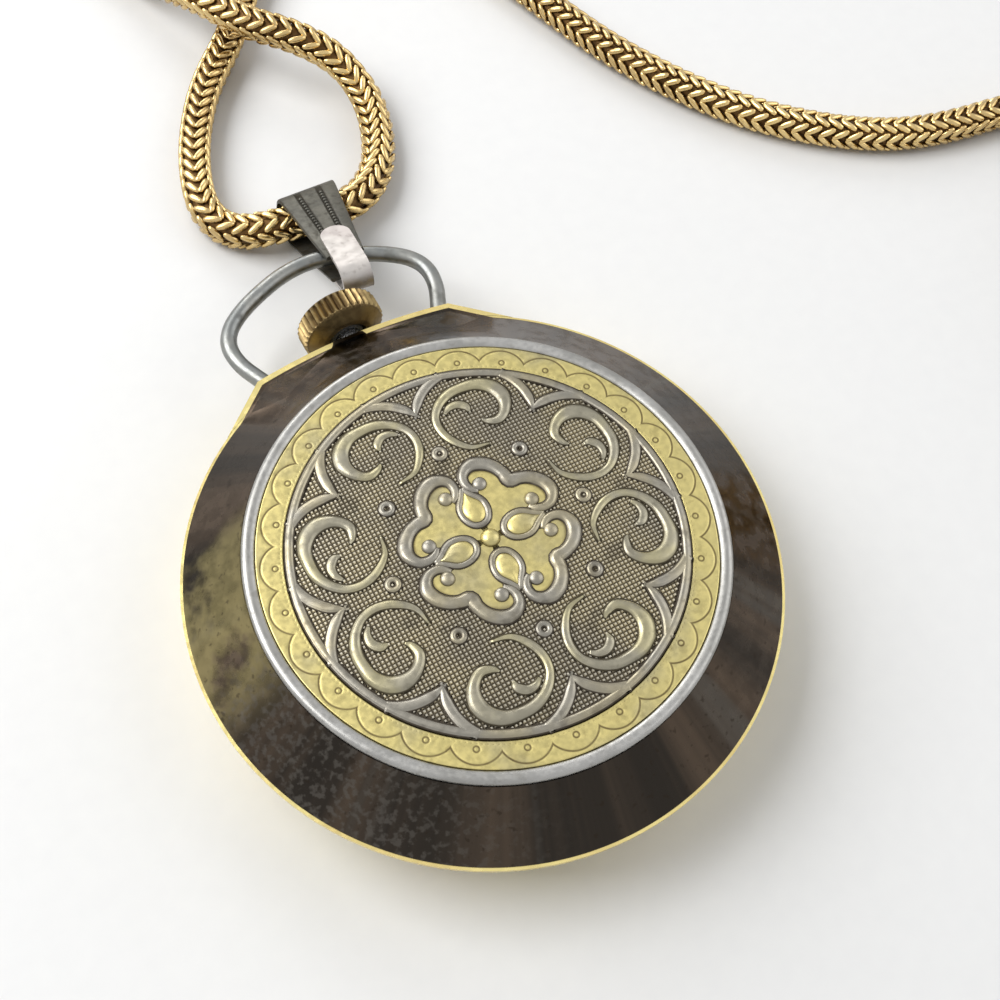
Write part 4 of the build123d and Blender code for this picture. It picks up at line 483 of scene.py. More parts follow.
def dress(piece: Piece, finish: Finish) -> None:
    """Give a piece one finish in place of what it has.

    Args:
        piece: The piece.
        finish: Its finish.
    """
    piece.data.materials.clear()
    piece.data.materials.append(finish.material())


def mount(piece: Piece, finish: Finish, body: str, slot: str, *nodes: str) -> None:
    """Dress a piece, place it on a body and hide the nodes that it stands for.

    Args:
        piece: The finished piece.
        finish: Its finish.
        body: The CAD body that carries it.
        slot: Name of a material slot; not used.
        *nodes: CAD nodes that the piece replaces.
    """
    dress(piece, finish)
    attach(piece, body)
    if nodes:
        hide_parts(*nodes)
    LOG.info("%s rides on %s", piece.name, body)


def set_relief(piece: Piece, values: Rows | float = 1.0) -> None:
    """Store how high each vertex lies in a piece's relief, for its finish to read.

    Args:
        piece: The piece.
        values: 0 in a hollow and 1 on a crest, for all vertices or each.
    """
    mesh = piece.data
    layer = mesh.attributes.get("relief") or mesh.attributes.new("relief", "FLOAT", "POINT")
    layer.data.foreach_set("value", numpy.full(len(mesh.vertices), values, dtype=numpy.float32))


def new_piece(name: str, vertices: Rows, faces: Faces, relief: Rows | float = 1.0) -> Piece:
    """Make a smoothly shaded object from points and faces.

    Args:
        name: The piece's name.
        vertices: Points in metres.
        faces: Corner numbers of each face.
        relief: 0 in a hollow and 1 on a crest, for all vertices or each.

    Returns:
        The new object.
    """
    mesh = bpy.data.meshes.new(name)
    mesh.from_pydata(numpy.asarray(vertices).tolist(), [], faces)
    piece = in_scene(name, mesh)
    set_relief(piece, relief)
    mesh.validate()
    mesh.shade_smooth()
    return piece


def seal(piece: Piece, merge: float = 0.0, crease: float = 0.0) -> None:
    """Merge a mesh's doubles where asked, and turn its faces outward.

    Args:
        piece: The piece.
        merge: Distance in millimetres under which vertices are merged.
        crease: Angle in degrees over which an edge stays sharp, or 0 to leave the shading.
    """
    choose(piece)
    bpy.ops.object.mode_set(mode="EDIT")
    bpy.ops.mesh.select_all(action="SELECT")
    if merge:
        bpy.ops.mesh.remove_doubles(threshold=merge * MM)
    bpy.ops.mesh.normals_make_consistent(inside=False)
    bpy.ops.object.mode_set(mode="OBJECT")
    if crease:
        bpy.ops.object.shade_smooth_by_angle(angle=math.radians(crease))


def joined(name: str, *pieces: Piece) -> Piece:
    """Join pieces into one object with its faces outward.

    Args:
        name: The new piece's name.
        *pieces: The pieces.

    Returns:
        The joined piece.
    """
    choose(*pieces)
    bpy.ops.object.join()
    whole = bpy.context.view_layer.objects.active
    whole.name = whole.data.name = name
    seal(whole)
    return whole


def tube_faces(rings: int, sides: int, closed: bool = False, start: int = 0) -> Faces:
    """Faces between rings of vertices that follow each other.

    Args:
        rings: Number of rings.
        sides: Vertices of each ring.
        closed: Whether the last ring joins the first.
        start: Number of the first vertex.

    Returns:
        Corner numbers of each face.
    """
    faces = []
    for ring in range(rings if closed else rings - 1):
        low, high = start + ring * sides, start + (ring + 1) % rings * sides
        for side in range(sides):
            after = (side + 1) % sides
            faces.append((low + side, low + after, high + after, high + side))
    return faces


def end_faces(rings: int, sides: int) -> Faces:
    """Faces over both ends of a tube.

    Args:
        rings: Number of its rings.
        sides: Vertices of each ring.

    Returns:
        Corner numbers of both faces.
    """
    count = rings * sides
    return [tuple(range(sides)), tuple(range(count - 1, count - 1 - sides, -1))]


def shifted(faces: Faces, start: int) -> Faces:
    """Faces whose corners are counted from a vertex further on.

    Args:
        faces: The faces.
        start: Number of the vertex that they call 0.

    Returns:
        The faces with their corners' true numbers.
    """
    return [tuple(start + corner for corner in face) for face in faces]


def oval_bead(rings: int, sides: int) -> tuple[Rows, Faces]:
    """An oval bead along X, one unit in each half axis.

    Args:
        rings: Rings of vertices between its two tips.
        sides: Vertices of each ring.

    Returns:
        Its vertices and its faces.
    """
    fullness = 0.7
    vertices = [(-1.0, 0.0, 0.0)]
    for angle in math.pi * numpy.arange(1, rings + 1) / (rings + 1):
        girth = math.sin(angle) ** fullness
        vertices += [(-math.cos(angle), x, y) for x, y in circle(sides, girth)]
    vertices.append((1.0, 0.0, 0.0))
    faces = tube_faces(rings, sides, start=1)
    last = 1 + (rings - 1) * sides
    for side in range(sides):
        after = (side + 1) % sides
        faces += [(0, 1 + after, 1 + side), (len(vertices) - 1, last + side, last + after)]
    return numpy.array(vertices), faces


def circle(count: int, radius: float | Rows, centre: PlanPoint = (0.0, 0.0)) -> Rows:
    """Points evenly round a circle, counted to the left from its right.

    Args:
        count: Number of points.
        radius: Radius, for all points or each.
        centre: The circle's centre.

    Returns:
        Rows of x and y.
    """
    turns = numpy.linspace(0, math.tau, count, endpoint=False)
    return numpy.column_stack((centre[0] + radius * numpy.cos(turns),
                               centre[1] + radius * numpy.sin(turns)))


def smooth_line(points: Sequence[Sequence[float]], steps: int) -> Rows:
    """A smooth line through rows of values, each row a point with whatever belongs to it.

    Args:
        points: The rows.
        steps: Pieces between two rows.

    Returns:
        The rows of the smooth line.
    """
    rows = numpy.array(points, dtype=float)
    padded = numpy.vstack((2 * rows[0] - rows[1], rows, 2 * rows[-1] - rows[-2]))
    made = []
    for number in range(len(rows) - 1):
        before, start, end, after = padded[number:number + 4]
        for t in numpy.arange(steps) / steps:
            made.append(0.5 * (2 * start + (end - before) * t
                               + (2 * before - 5 * start + 4 * end - after) * t ** 2
                               + (3 * start - before - 3 * end + after) * t ** 3))
    return numpy.array([*made, rows[-1]])


def turned(points: Rows, angle: float, swapped: bool = False) -> Rows:
    """Plan rows mirrored about y = x where asked, then turned about the centre.

    Args:
        points: Rows that begin with x and y.
        angle: Turn to the left in degrees.
        swapped: Whether they are mirrored first.

    Returns:
        The turned rows.
    """
    rows = numpy.array(points, dtype=float)
    x, y = rows[:, [1, 0]].T if swapped else rows[:, [0, 1]].T
    across, up = math.cos(math.radians(angle)), math.sin(math.radians(angle))
    rows[:, :2] = numpy.column_stack((x * across - y * up, x * up + y * across))
    return rows


def inside(x: Rows, y: Rows, edge: Rows) -> Rows:
    """Whether points lie inside a closed line.

    Args:
        x: Their x.
        y: Their y.
        edge: Rows of x and y round the line.

    Returns:
        A truth value for each point.
    """
    within = numpy.zeros(len(x), dtype=bool)
    for (x0, y0), (x1, y1) in zip(edge, numpy.roll(edge, -1, axis=0)):
        if y0 != y1:
            crossing = (y0 > y) != (y1 > y)
            within ^= crossing & (x < x0 + (y - y0) * (x1 - x0) / (y1 - y0))
    return within


def pulled_curve(name: str, places: Sequence[Place], resolution: int) -> bpy.types.Object:
    """A smooth curve that its places pull into shape.

    Args:
        name: The curve's name.
        places: The places in millimetres, of which it meets the first and the last.
        resolution: Steps between two places.

    Returns:
        The curve's object.
    """
    curve = bpy.data.curves.new(name, "CURVE")
    curve.dimensions = "3D"
    curve.resolution_u = resolution
    spline = curve.splines.new("NURBS")
    spline.points.add(len(places) - 1)
    for point, place in zip(spline.points, places):
        point.co = (*(Vector(place) * MM), 1.0)
    spline.order_u = 3
    spline.use_endpoint_u = True
    return in_scene(name, curve)


@dataclass
class Dome:
    """The low dome that the medallion's relief stands on, in millimetres."""

    top: float = 8.42
    edge: float = 7.98
    half_chord: float = 10.68

    def height(self, radius: Rows) -> Rows:
        """Height of the dome at distances from the medallion's centre.

        Args:
            radius: The distances in millimetres.

        Returns:
            The heights in millimetres.
        """
        rise = self.top - self.edge
        curve = (self.half_chord ** 2 + rise ** 2) / (2 * rise)
        within = numpy.minimum(radius, self.half_chord)
        return self.top - curve + numpy.sqrt(curve ** 2 - within ** 2)


class Relief:
    """Raised shapes gathered into one mesh, laid on the dome.

    A row of SECTION is a place round a ridge: its share of the half width, its share of the
    margin beside the ridge and its level, which is below 0 under the dome and 1 on the crest. A
    row of BUTTON is a share of a boss's radius, a share of its height and a relief value.
    """

    SECTION = numpy.array((
        (-1.0, -1.0, -1.0), (-1.0, -1.0, 0.0), (-1.0, -0.1, 0.05), (-0.9, 0.0, 0.55),
        (-0.68, 0.0, 0.86), (-0.36, 0.0, 0.97), (0.0, 0.0, 1.0), (0.36, 0.0, 0.97),
        (0.68, 0.0, 0.86), (0.9, 0.0, 0.55), (1.0, 0.1, 0.05), (1.0, 1.0, 0.0), (1.0, 1.0, -1.0)))
    MARGIN = 0.075
    MARGIN_HEIGHT = 0.085
    SUNK = -0.12
    BUTTON = ((1.0, 0.0, 0.0), (0.9, 0.45, 0.5), (0.7, 0.75, 0.85), (0.4, 0.94, 1.0),
              (0.1, 1.0, 1.0))
    BUTTON_STEPS = 20

    def __init__(self, name: str, dome: Dome) -> None:
        """Start with nothing.

        Args:
            name: Name of the piece to be made.
            dome: The dome under it.
        """
        self.name = name
        self.dome = dome
        self.vertices, self.faces, self.levels = [], [], []

    def add(self, plan: Rows, heights: Rows, levels: Rows, faces: Faces) -> None:
        """Add vertices above the dome and the faces between them.

        Args:
            plan: Rows of x and y in millimetres.
            heights: Height of each above the dome.
            levels: Relief value of each.
            faces: Corner numbers, counted from the first of these vertices.
        """
        ground = self.dome.height(numpy.hypot(plan[:, 0], plan[:, 1]))
        self.faces += shifted(faces, len(self.vertices))
        self.vertices += (numpy.column_stack((plan, ground + heights)) * MM).tolist()
        self.levels += numpy.clip(levels, 0.0, 1.0).tolist()

    def ridge(self, line: Rows, share: float, cap: float, closed: bool = False) -> None:
        """Add a rounded band along a line.

        Args:
            line: Rows of x, y and half width.
            share: Height as a share of the half width.
            cap: The greatest height, where the band's top turns flat.
            closed: Whether the line's end joins its start.
        """
        if closed:
            around = numpy.vstack((line[-1], line, line[0]))
            ahead = (around[2:] - around[:-2])[:, :2]
        else:
            ahead = numpy.gradient(line[:, :2], axis=0)
        ahead /= numpy.linalg.norm(ahead, axis=1)[:, None]
        aside = numpy.column_stack((-ahead[:, 1], ahead[:, 0]))
        places, margins, levels = self.SECTION.T
        offsets = places * line[:, [2]] + margins * self.MARGIN
        plan = line[:, None, :2] + aside[:, None, :] * offsets[:, :, None]
        full = numpy.minimum(line[:, [2]] * share, cap)
        heights = numpy.where(levels < 0, self.SUNK, numpy.maximum(levels * full, self.MARGIN_HEIGHT))
        faces = tube_faces(len(line), len(levels), closed)
        if not closed:
            faces += end_faces(len(line), len(levels))
        self.add(plan.reshape(-1, 2), heights.ravel(), numpy.tile(levels, len(line)), faces)

    def mound(self, outline: Rows, centre: PlanPoint, profile: Sequence[Place]) -> None:
        """Add a raised shape whose level lines shrink towards its centre.

        Args:
            outline: Rows of x and y round the foot.
            centre: The point that the level lines shrink to.
            profile: (share of the outline, height, relief value) from the foot inward.
        """
        middle = numpy.array(centre, dtype=float)
        shares, heights, levels = numpy.array(profile).T
        sides = len(outline)
        rings = middle + (outline[:, :2] - middle) * shares[:, None, None]
        plan = numpy.vstack((rings.reshape(-1, 2), middle, middle))
        faces = tube_faces(len(profile), sides)
        bottom, top, last = len(plan) - 2, len(plan) - 1, (len(profile) - 1) * sides
        for side in range(sides):
            after = (side + 1) % sides
            faces += [(bottom, after, side), (top, last + side, last + after)]
        self.add(plan, numpy.append(numpy.repeat(heights, sides), (heights[0], heights[-1])),
                 numpy.append(numpy.repeat(levels, sides), (0.0, 1.0)), faces)

    def button(self, centre: PlanPoint, radius: float, height: float) -> None:
        """Add a round boss.

        Args:
            centre: Its centre.
            radius: Radius of its foot.
            height: Height of its top.
        """
        rows = [(share, height * rise, level) for share, rise, level in self.BUTTON]
        self.mound(circle(self.BUTTON_STEPS, radius, centre), centre,
                   [(1.0, self.SUNK, 0.0), *rows])

    def build(self, finish: Finish) -> Piece:
        """Make the piece, dress it and place it on the case.

        Args:
            finish: The finish.

        Returns:
            The piece.
        """
        piece = new_piece(self.name, self.vertices, self.faces, self.levels)
        seal(piece)
        mount(piece, finish, "case", "medallion_relief")
        return piece


@dataclass
class Medallion:
    """The struck medallion: scroll lobes round a rosette on a beaded field, in a scalloped band.

    Rows of SCROLL, SCROLL_LIP and BRACKET are x, y and half width in millimetres. LOBE_TAPER
    gives bearings from a lobe's axis in degrees with half widths. The names that end in RIDGE hold
    a ridge's share and cap, and BALL and CENTRE_BALL a radius and a height. GROOVE, ENGRAVED and
    BAND_EDGE are the band's radii, ENGRAVED as first, last and count. RIM goes round the rim's
    section as radius and height. A row of MIDDLE is a share of the middle's outline and a relief
    value, and a row of BOSS a share of the petal's outline, a rise and a relief value.
    """

    dome: Dome
    base_height: float = 7.6
    rim_inner: float = 12.26
    field_radius: float = 10.34
    field_drop: float = 0.03
    field_margin: float = 0.1
    field_rings: int = 12
    field_steps: int = 120
    bead_pitch: float = 0.23
    bead_height: float = 0.1
    bead_foot: float = -0.02
    bead_top_share: float = 0.42
    border_radius: float = 10.5
    border_half: float = 0.2
    border_steps: int = 240
    scallops: int = 28
    scallop_steps: int = 48
    scallop_centre: float = 10.63
    scallop_radius: float = 1.42
    scallop_half_line: float = 0.085
    scallop_eye: float = 11.26
    scallop_eye_radius: float = 0.15
    scallop_eye_gap: float = 0.11
    eye_half_line: float = 0.08
    engraved_depth: float = 0.02
    engraved_shade: float = 0.95
    edge_bead_radius: float = 10.98
    edge_bead_half: float = 0.05
    edge_bead_share: float = 0.8
    edge_beads_per_scallop: int = 9
    groove_depth: float = 0.1
    lobe_centre: float = 7.6
    lobe_radius: float = 3.28
    lobe_count: int = 8
    lobe_steps: int = 26
    ring_dot_place: float = 5.71
    ring_dot_radius: float = 0.3
    ring_dot_half: float = 0.12
    ring_dot_steps: int = 20
    petal_rim_half: float = 0.14
    petal_centre: float = 1.85
    patch_height: float = 0.04
    rim_steps: int = 192

    QUARTERS = (0, 90, 180, 270)
    LOBE_RIDGE = (0.85, 0.15)
    BORDER_RIDGE = (0.9, 0.16)
    SCROLL_RIDGE = (0.75, 0.24)
    LIP_RIDGE = (0.8, 0.14)
    BRACKET_RIDGE = (0.9, 0.24)
    PETAL_RIDGE = (1.1, 0.16)
    RING_DOT_RIDGE = (1.2, 0.16)
    BALL = (0.43, 0.26)
    CENTRE_BALL = (0.55, 0.36)
    LOBE_TAPER = ((31.0, 72.0, 90.0), (0.27, 0.25, 0.04))
    SCROLL = ((2.77, 5.06, 0.03), (1.71, 5.31, 0.13), (0.99, 6.16, 0.2), (0.73, 7.06, 0.2),
              (0.9, 7.91, 0.2), (1.5, 8.59, 0.24), (2.31, 8.97, 0.28), (3.16, 9.01, 0.3),
              (4.0, 8.84, 0.36), (4.64, 8.33, 0.42), (4.9, 7.65, 0.42), (4.77, 6.97, 0.33),
              (4.39, 6.46, 0.26), (3.92, 6.22, 0.23), (3.37, 6.38, 0.15), (3.11, 6.63, 0.04))
    SCROLL_LIP = ((1.45, 7.85, 0.08), (1.85, 8.1, 0.17), (2.35, 8.1, 0.22), (2.72, 7.78, 0.21),
                  (2.76, 7.4, 0.06))
    BRACKET = ((-0.78, 2.75, 0.12), (-0.45, 3.05, 0.2), (-0.32, 3.45, 0.22), (-0.42, 3.9, 0.25),
               (-0.78, 4.22, 0.3), (-1.28, 4.31, 0.36), (-1.83, 4.07, 0.36), (-2.25, 3.62, 0.34),
               (-2.46, 3.1, 0.33), (-2.56, 2.56, 0.38))
    BRACKET_BALLS = ((-1.03, 3.09), (-3.09, 1.03))
    PETAL = ((3.25, 0.0), (2.75, 0.3), (2.3, 0.62), (1.9, 0.72), (1.45, 0.66), (1.05, 0.42),
             (0.88, 0.0))
    MIDDLE = ((1.0, 0.1), (0.94, 0.1), (0.89, 0.3), (0.84, 0.9), (0.55, 1.0), (0.3, 1.0))
    BOSS_FOOT = (0.86, 0.0, 0.0)
    BOSS = ((0.84, 0.0, 0.1), (0.77, 0.08, 0.7), (0.55, 0.14, 1.0), (0.2, 0.17, 1.0))
    GROOVE = (10.7, 10.72, 10.8, 10.83)
    ENGRAVED = (10.88, 12.18, 27)
    BAND_EDGE = 12.22
    RIM = ((12.3, 7.6), (13.0, 7.6), (13.0, 7.9), (12.96, 7.99), (12.86, 8.07), (12.74, 8.1),
           (12.62, 8.1), (12.5, 8.07), (12.38, 8.02), (12.32, 7.97), (12.3, 7.92))

    def lobes(self) -> None:
        """Build the bands of the eight lobes, which meet in cusps, and the border round them."""
        relief = Relief("medallion_lobes", self.dome)
        bearings = numpy.linspace(self.LOBE_TAPER[0][0], self.LOBE_TAPER[0][-1], self.lobe_steps)
        half = numpy.interp(bearings, *self.LOBE_TAPER)
        bearings = numpy.radians(bearings)
        for number in range(self.lobe_count):
            for side in (1, -1):
                line = numpy.column_stack((self.lobe_centre + self.lobe_radius * numpy.cos(bearings),
                                           side * self.lobe_radius * numpy.sin(bearings), half))
                turn = 360 / self.lobe_count * (number + 0.5)
                relief.ridge(turned(line, turn), *self.LOBE_RIDGE)
        border = circle(self.border_steps, self.border_radius)
        border = numpy.insert(border, 2, self.border_half, axis=1)
        relief.ridge(border, *self.BORDER_RIDGE, closed=True)
        relief.build(SILVER_RELIEF)

    def scrolls(self) -> None:
        """Build the eight C-scrolls, each with the small lip inside it."""
        relief = Relief("medallion_scrolls", self.dome)
        for line, ridge in ((self.SCROLL, self.SCROLL_RIDGE), (self.SCROLL_LIP, self.LIP_RIDGE)):
            for quarter in self.QUARTERS:
                for swapped in (False, True):
                    smooth = smooth_line(line, steps=6)
                    relief.ridge(turned(smooth, quarter, swapped), *ridge)
        relief.build(SCROLL_RELIEF)

    def bracket(self) -> Rows:
        """Lay a bracket's line from end to end, as rows of x, y and half width."""
        mirrored = [(-y, -x, half) for x, y, half in self.BRACKET[-2::-1]]
        return smooth_line([*self.BRACKET, *mirrored], steps=4)

    def petal(self) -> list[PlanPoint]:
        """Lay the closed outline of a petal, as rows of x and y."""
        return [*self.PETAL, *((x, -y) for x, y in self.PETAL[-2::-1])]

    def rosette(self) -> None:
        """Build the four brackets with their balls, the petals' rims and the ring dots."""
        relief = Relief("medallion_rosette", self.dome)
        rim = smooth_line([(x, y, self.petal_rim_half) for x, y in self.petal()], steps=4)
        for quarter in self.QUARTERS:
            relief.ridge(turned(self.bracket(), quarter), *self.BRACKET_RIDGE)
            relief.ridge(turned(rim, quarter), *self.PETAL_RIDGE)
            for place in turned(self.BRACKET_BALLS, quarter):
                relief.button(place, *self.BALL)
        for centre in circle(self.lobe_count, self.ring_dot_place):
            ring = circle(self.ring_dot_steps, self.ring_dot_radius, centre)
            ring = numpy.insert(ring, 2, self.ring_dot_half, axis=1)
            relief.ridge(ring, *self.RING_DOT_RIDGE, closed=True)
        relief.build(SILVER_RELIEF)

    def middle_edge(self) -> Rows:
        """Lay the centrelines of the four brackets in one loop, as rows of x and y."""
        return numpy.vstack([turned(self.bracket(), quarter) for quarter in self.QUARTERS])[:, :2]

    def golden_middle(self) -> None:
        """Build the smooth ground inside the brackets, the petals' bosses and the centre ball."""
        ground = Relief("medallion_middle", self.dome)
        top = self.patch_height
        ground.mound(self.middle_edge(), (0.0, 0.0), [
            (1.0, Relief.SUNK, 0.0), *((share, top, level) for share, level in self.MIDDLE)])
        boss = smooth_line(self.petal(), steps=4)[:-1]
        for quarter in self.QUARTERS:
            centre = turned([(self.petal_centre, 0.0)], quarter)[0]
            ground.mound(turned(boss, quarter), centre, [
                self.BOSS_FOOT, *((share, top + rise, level) for share, rise, level in self.BOSS)])
        ground.button((0.0, 0.0), *self.CENTRE_BALL)
        ground.build(GOLD_RELIEF)

    def field(self) -> None:
        """Build the field under the relief, covered with small square beads."""
        lowered = Dome(self.dome.top - self.field_drop, self.dome.edge - self.field_drop,
                       self.dome.half_chord)
        relief = Relief("medallion_field", lowered)
        shares = [(ring / self.field_rings, 0.0, 0.0) for ring in range(self.field_rings, 0, -1)]
        relief.mound(circle(self.field_steps, self.field_radius + self.field_margin), (0.0, 0.0),
                     ((1.0, self.base_height - self.dome.edge, 0.0), *shares))
        half = self.bead_pitch / 2
        square = numpy.array([(-1, -1), (1, -1), (1, 1), (-1, 1)], dtype=float) * half
        bead = numpy.vstack((square, square * self.bead_top_share))
        faces = [*tube_faces(2, 4), (4, 5, 6, 7), (3, 2, 1, 0)]
        heights = numpy.repeat((self.bead_foot, self.bead_height), 4)
        levels = numpy.repeat((0.0, 1.0), 4)
        count = int(self.field_radius / self.bead_pitch)
        spots = numpy.arange(-count, count + 1) * self.bead_pitch
        x, y = (grid.ravel() for grid in numpy.meshgrid(spots, spots))
        shown = numpy.hypot(x, y) < self.field_radius - half
        shown &= ~inside(x, y, self.middle_edge())
        for spot in zip(x[shown], y[shown]):
            relief.add(bead + spot, heights, levels, faces)
        relief.build(HATCH).data.shade_flat()

    def band(self) -> None:
        """Build the gold band with its engraved scallops, one ring of fine mesh."""
        around = self.scallops * self.scallop_steps
        radii = numpy.array((self.field_radius, self.field_radius, *self.GROOVE,
                             *numpy.linspace(*self.ENGRAVED), self.BAND_EDGE,
                             self.rim_inner, self.rim_inner))
        groove_floor = slice(3, 5)
        top = numpy.full(len(radii), self.dome.edge)
        top[[0, -1]] = self.base_height
        top[groove_floor] -= self.groove_depth
        top[-2] -= self.engraved_depth
        turns = numpy.linspace(0, math.tau, around, endpoint=False)
        pitch = math.tau / self.scallops
        off = numpy.mod(turns + math.pi / 2, pitch) - pitch / 2
        radius, off = numpy.meshgrid(radii, off, indexing="ij")
        along, across = radius * numpy.cos(off), radius * numpy.sin(off)
        arc = numpy.abs(numpy.hypot(along - self.scallop_centre, across) - self.scallop_radius)
        arc = numpy.where(radius > self.scallop_eye - self.scallop_eye_gap, arc, numpy.inf)
        eye = numpy.hypot(along - self.scallop_eye, across) - self.scallop_eye_radius
        beads = 0.5 + 0.5 * numpy.cos(off * self.scallops * self.edge_beads_per_scallop)
        edge = numpy.exp(-((radius - self.edge_bead_radius) / self.edge_bead_half) ** 2)
        cuts = (numpy.exp(-(arc / self.scallop_half_line) ** 2),
                numpy.exp(-(eye / self.eye_half_line) ** 2), edge * beads * self.edge_bead_share)
        plain = (radius <= self.GROOVE[-1]) | (radius >= self.BAND_EDGE)
        cut = numpy.where(plain, 0.0, numpy.maximum.reduce(cuts))
        level = 1.0 - self.engraved_shade * cut
        level[groove_floor] = 0.0
        vertices = numpy.stack((radius * numpy.cos(turns), radius * numpy.sin(turns),
                                top[:, None] - self.engraved_depth * cut), axis=2) * MM
        piece = new_piece("medallion_band", vertices.reshape(-1, 3),
                          tube_faces(len(radii), around, closed=True), level.ravel())
        seal(piece)
        mount(piece, GOLD_RELIEF, "case", "medallion_relief", "back_medallion")

    def rim(self) -> None:
        """Build the silver rim round the medallion, its rounded section spun about the axis."""
        mesh = bpy.data.meshes.new("rim_ring")
        corners = [(radius * MM, 0.0, height * MM) for radius, height in self.RIM]
        edges = [(number, (number + 1) % len(corners)) for number in range(len(corners))]
        mesh.from_pydata(corners, edges, [])
        piece = in_scene("rim_ring", mesh)
        choose(piece)
        bpy.ops.object.mode_set(mode="EDIT")
        bpy.ops.mesh.select_all(action="SELECT")
        bpy.ops.mesh.spin(steps=self.rim_steps, angle=math.tau, center=(0, 0, 0), axis=(0, 0, 1))
        bpy.ops.object.mode_set(mode="OBJECT")
        seal(piece, merge=0.0005, crease=35.0)
        set_relief(piece)
        mount(piece, SILVER_RIM, "case", "silver_rim", "medallion_rim")

    def build(self) -> None:
        """Build the whole medallion and its rim."""
        for step in (self.band, self.field, self.lobes, self.scrolls, self.rosette,
                     self.golden_middle, self.rim):
            step()


@dataclass
class PhotoCamera:
    """The camera, where the photograph was taken from, with its angles in degrees."""

    azimuth: float = -36.32
    elevation: float = 62.61
    roll: float = 8.25
    distance: float = 71.17 * MM
    target: Place = (1.64 * MM, 1.87 * MM, 8.1 * MM)
    lens: float = 47.83

    def build(self) -> None:
        """Add the camera and make it the scene's."""
        azimuth, elevation, roll = map(math.radians, (self.azimuth, self.elevation, self.roll))
        back = Vector((math.sin(azimuth) * math.cos(elevation),
                       -math.cos(azimuth) * math.cos(elevation), math.sin(elevation)))
        right = Vector((math.cos(azimuth), math.sin(azimuth), 0.0))
        up = back.cross(right)
        rolled = math.cos(roll) * right + math.sin(roll) * up
        upright = -math.sin(roll) * right + math.cos(roll) * up
        data = bpy.data.cameras.new("photo_camera")
        data.lens = self.lens
        data.clip_start = 1.0 * MM
        camera = in_scene("photo_camera", data)
        turn = Matrix((rolled, upright, back)).transposed().to_4x4()
        camera.matrix_world = Matrix.Translation(Vector(self.target) + back * self.distance) @ turn
        bpy.context.scene.camera = camera


@dataclass
class Studio:
    """A pale table, soft lamps and an even surround.

    A row of LAMPS is a name, a direction from the watch, a side in metres and a power in watts.
    """

    table_size: float = 4.0
    lamp_reach: float = 0.36
    surround_tone: Colour = (0.97, 0.98, 1.0)
    surround: float = 0.36
    seen_surround: float = 0.9

    LAMPS = (("key_lamp", (-0.55, 0.5, 0.75), 0.26, 1.25),
             ("fill_lamp", (0.8, -0.15, 0.6), 0.3, 0.35),
             ("rim_lamp", (0.1, 0.9, 0.45), 0.16, 0.3))

    def build(self) -> None:
        """Add the table, the lamps and the surround."""
        choose()
        bpy.ops.mesh.primitive_plane_add(size=self.table_size, location=(0, 0, 0))
        table = bpy.context.active_object
        table.name = "table_top"
        dress(table, TABLE)
        for lamp in self.LAMPS:
            self.lamp(*lamp)
        self.world()

    def lamp(self, name: str, direction: Place, side: float, power: float) -> None:
        """Add one square lamp that faces the watch.

        Args:
            name: The lamp's name.
            direction: Direction of the lamp from the watch.
            side: Side of the lamp in metres.
            power: Power in watts.
        """
        data = bpy.data.lights.new(name, "AREA")
        data.size = side
        data.energy = power
        lamp = in_scene(name, data)
        way = Vector(direction).normalized()
        lamp.location = way * self.lamp_reach
        lamp.rotation_euler = way.to_track_quat("Z", "Y").to_euler()

    def world(self) -> None:
        """Surround the watch with even light, pale to the camera and in metal and glass."""
        world = bpy.data.worlds.new("surround")
        bpy.context.scene.world = world
        world.use_nodes = True
        board = Board(world.node_tree)
        rays = board.node("LightPath").outputs
        mirrored = board.maths("MAXIMUM", rays["Is Glossy Ray"], rays["Is Transmission Ray"])
        seen = board.maths("MAXIMUM", rays["Is Camera Ray"], mirrored)
        strength = board.span(seen, 0.0, 1.0, self.surround, self.seen_surround)
        board.wire(world.node_tree.nodes["Background"], {0: self.surround_tone, 1: strength})


@dataclass
class BailPlace:
    """Where the bail hangs: its hinge on the bow in millimetres and its turns in degrees."""

    bar: Place = (2.3, 22.942, 4.2)
    twist: float = -6.0
    fall: float = 24.835
    reach: float = 6.0

    def axes(self) -> tuple[Vector, Vector, Vector]:
        """Directions along the bail, across it and out of its upper face.

        Returns:
            Three unit vectors.
        """
        twist, fall = math.radians(self.twist), math.radians(self.fall)
        across = Vector((math.cos(twist), math.sin(twist), 0.0))
        ahead = Vector((-math.sin(twist), math.cos(twist), 0.0))
        along = ahead * math.cos(fall) - Vector((0, 0, math.sin(fall)))
        return along, across, across.cross(along)

    def place(self, ahead: float, aside: float, above: float) -> Vector:
        """A point by its distances from the hinge along the bail's directions.

        Args:
            ahead: Distance along the bail.
            aside: Distance across it.
            above: Distance out of its upper face.

        Returns:
            The point in millimetres.
        """
        along, across, out = self.axes()
        return Vector(self.bar) + along * ahead + across * aside + out * above


